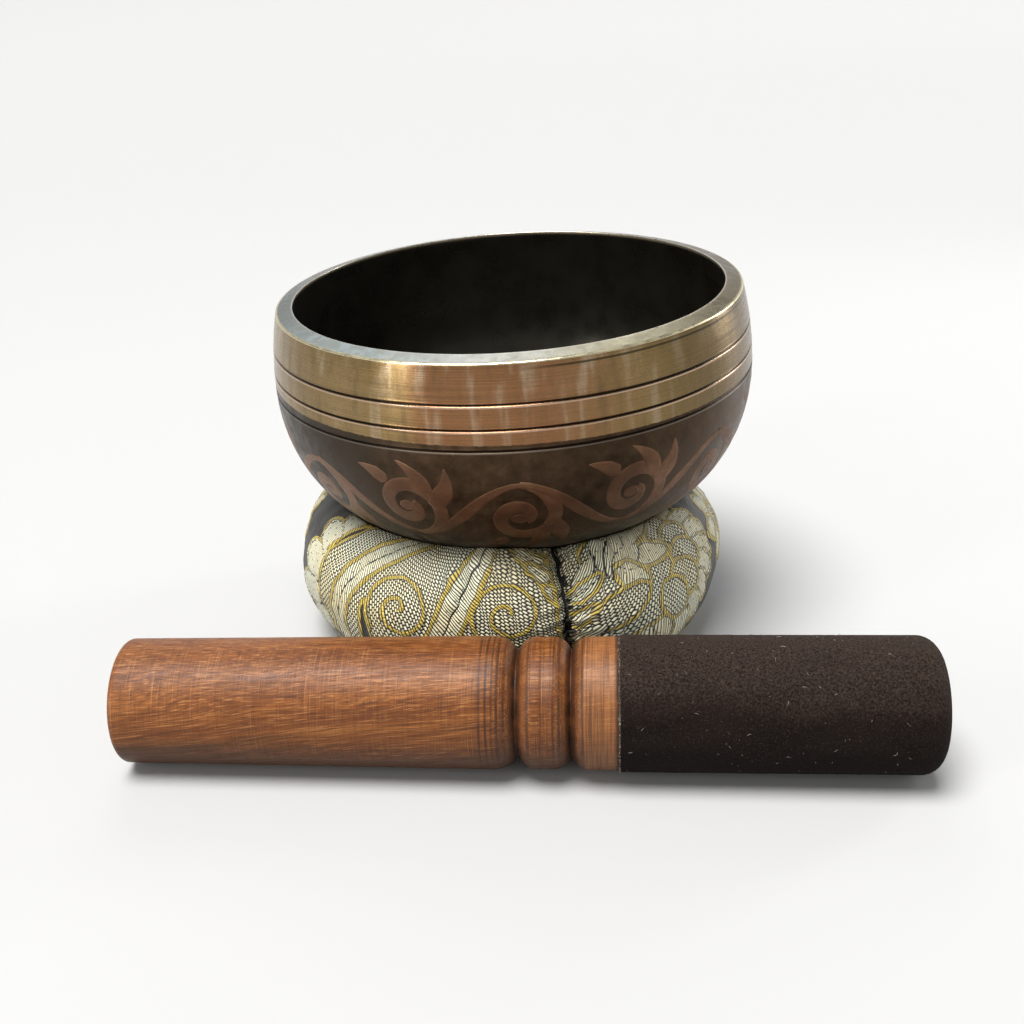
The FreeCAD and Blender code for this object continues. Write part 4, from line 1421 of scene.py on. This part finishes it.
def make_stitches(angle, points):
    """Hand stitches across the ring's joint, and the long closing seam round its hole."""
    normals = grid_normals(points)
    along, round_count = angle.shape

    def over(i, j, lift):
        return points[i % along, j % round_count] + normals[i % along, j % round_count] * lift

    # Each stitch comes up through the cloth, lies over it and goes down again: (squares, lift).
    joint_hops = ((-6, -0.3), (-4, 0.25), (-2, 0.45), (0, 0.9), (2, 0.45), (4, 0.25), (6, -0.3))
    closing_hops = ((0, -0.3), (3, 0.2), (6, 0.35), (9, 0.35), (12, 0.2), (15, -0.3))
    joint = []
    for first, last in JOINT_SPANS:
        count = round(math.radians(last - first) * TUBE_HALF_HEIGHT / STITCH_PITCH)
        for degrees in np.linspace(first, last, count + 1):
            j = round(degrees / 360 * round_count)
            joint.append(np.array([over(i, j + i // 4, lift) for i, lift in joint_hops]))
    closing = []
    j = round(CLOSING_ANGLE / 360 * round_count)
    for start in range(CLOSING_START, along - CLOSING_STEPS, CLOSING_STEPS):
        closing.append(np.array([over(start + i, j, lift) for i, lift in closing_hops]))
    thread = sewing_thread()
    for name, paths in (("joint", joint), ("closing", closing)):
        tubes, faces, corners = thread_tubes(paths, THREAD_RADIUS)
        piece = make_piece(f"cushion_{name}_thread", tubes, faces, Matrix.Identity(4), [thread])
        add_chart(piece, "thread", corners)
        settle(piece, "cushion", "thread", f"cushion_{name}_stitches")


def puckers(s, bearing, angle, v):
    """Height of the cloth's small folds over the stuffed ring, in millimetres."""
    near = np.abs(s) * OUTER_RADIUS
    side = np.sign(s)
    phase = v / 0.62 + 1.7 * side + 1.4 * np.sin(v / 4.3) - near * 0.42 * side
    pleats = (1 - 2 * np.abs(np.sin(phase / 2))) * PLEAT_HEIGHT
    pleats *= np.exp(-near / 4.5) * (1 - np.exp(-(near / 0.7) ** 2))
    long_folds = np.sin(v / 2.9 + 0.8 * side - near * 0.11 * side) * np.exp(-near / 11)
    valley = -2.0 * np.exp(-(near / 1.1) ** 2) - 0.9 * np.exp(-(near / 3.6) ** 2)
    inner = np.clip(-np.cos(angle), 0, 1) ** 1.5
    waver = 2.2 * np.sin(3 * bearing) + 1.5 * np.sin(angle)
    gathers = GATHER_HEIGHT * inner * np.sin(52 * bearing + waver)
    crest = np.clip(np.sin(angle), 0, 1) ** 3
    gathers += 0.16 * crest * np.sin(41 * bearing + 1.9 * np.sin(5 * bearing))
    lumps = 0.35 * np.sin(5 * bearing + 2.0 * np.sin(2 * angle) + 0.6)
    lumps += 0.25 * np.sin(9 * bearing - 3 * angle + 2.1)
    return pleats + FOLD_HEIGHT * long_folds + valley + gathers + lumps


# ---------------------------------------------------------------- studio

CAMERA_PLACE = Vector((1.4, -307.84, 156.46))
CAMERA_LENS = 43.905
CAMERA_TURN = 0.1291            # degrees about Z from looking along +Y
CAMERA_LOOKS_DOWN = 22.6192
CAMERA_ROLL = -1.7323
FLOOR_FLAT = 2.5                # metres, as are the next two
FLOOR_REACH = 7.5
FIRST_FLOOR_RING = 1.0
FLOOR_STEEPNESS = 0.14
FLOOR_TONE = (0.445, 0.445, 0.445)
STRIP_WIDTH, STRIP_HEIGHT, STRIP_SPREAD = 0.14, 0.5, math.radians(90)


def make_camera():
    data = bpy.data.cameras.new("camera")
    data.lens = CAMERA_LENS
    data.sensor_width = 36.0
    data.clip_start = 0.01
    data.clip_end = 20.0
    camera = bpy.data.objects.new("camera", data)
    turn = (Matrix.Rotation(math.radians(CAMERA_TURN), 4, "Z")
            @ Matrix.Rotation(math.radians(90 - CAMERA_LOOKS_DOWN), 4, "X")
            @ Matrix.Rotation(math.radians(CAMERA_ROLL), 4, "Z"))
    camera.matrix_world = Matrix.Translation(CAMERA_PLACE * MM) @ turn
    bpy.context.scene.collection.objects.link(camera)
    bpy.context.scene.camera = camera


def add_light(kind, name, place, aim, power, colour, **settings):
    """A light at a place in metres, turned to shine on another."""
    data = bpy.data.lights.new(name, kind)
    data.energy = power
    data.color = colour
    for setting, value in settings.items():
        setattr(data, setting, value)
    light = bpy.data.objects.new(name, data)
    light.location = place
    light.rotation_euler = (Vector(aim) - Vector(place)).to_track_quat("-Z", "Y").to_euler()
    bpy.context.scene.collection.objects.link(light)


def round_floor():
    """A flat floor that turns up gently far away, so that it has no edge in sight; metres."""
    steps = 96
    reach = np.concatenate([[FIRST_FLOOR_RING], np.linspace(FLOOR_FLAT, FLOOR_REACH, 24)])
    rise = FLOOR_STEEPNESS * (reach - reach.clip(max=FLOOR_FLAT)) ** 2
    turn = np.arange(steps) * 2 * math.pi / steps
    points = [(0.0, 0.0, 0.0)]
    for out, up in zip(reach, rise):
        points += [(out * math.cos(t), out * math.sin(t), up) for t in turn]
    faces = [(0, 1 + i, 1 + (i + 1) % steps) for i in range(steps)]
    for ring in range(len(reach) - 1):
        near, far = 1 + ring * steps, 1 + (ring + 1) * steps
        faces += [(near + i, far + i, far + (i + 1) % steps, near + (i + 1) % steps)
                  for i in range(steps)]
    return points, faces


def make_studio():
    """A pale floor without an edge in sight, high soft light, and strips for the bronze."""
    points, faces = round_floor()
    floor_mesh = bpy.data.meshes.new("floor")
    floor_mesh.from_pydata(points, [], faces)
    floor_mesh.polygons.foreach_set("use_smooth", [True] * len(faces))
    floor = bpy.data.objects.new("floor", floor_mesh)
    paint = Paint("pale_floor", Roughness=0.9, Specular_IOR_Level=0.1)
    paint.put(FLOOR_TONE, paint.shader.inputs["Base Color"])
    floor_mesh.materials.append(paint.material)
    bpy.context.scene.collection.objects.link(floor)

    world = bpy.data.worlds.new("studio")
    world.use_nodes = True
    background = world.node_tree.nodes["Background"]
    background.inputs["Color"].default_value = (0.95, 0.98, 1.0, 1.0)
    background.inputs["Strength"].default_value = 0.30
    bpy.context.scene.world = world
    bpy.context.scene.view_settings.view_transform = "Standard"

    middle = (0.0, 0.0, 0.05)
    add_light("SUN", "overhead", (-0.22, -0.22, 1.0), (0, 0, 0), 5.2, (1.0, 0.99, 0.97),
              angle=math.radians(32))
    strip = {"shape": "RECTANGLE", "size": STRIP_WIDTH, "size_y": STRIP_HEIGHT,
             "spread": STRIP_SPREAD}
    add_light("AREA", "left_strip", (-0.74, -0.58, 0.34), middle, 0.6, (1.0, 0.97, 0.92), **strip)
    add_light("AREA", "right_strip", (0.80, 0.37, 0.34), middle, 0.6, (1.0, 0.99, 0.97), **strip)
    add_light("SUN", "window", (-0.10, 1.0, 0.72), (0, 0, 0), 0.62, (0.92, 0.97, 1.0),
              angle=math.radians(36))


make_studio()
make_camera()
make_bowl()
make_scroll()
make_stick()
make_sleeve()
make_lint()
make_cover(bowl_place())
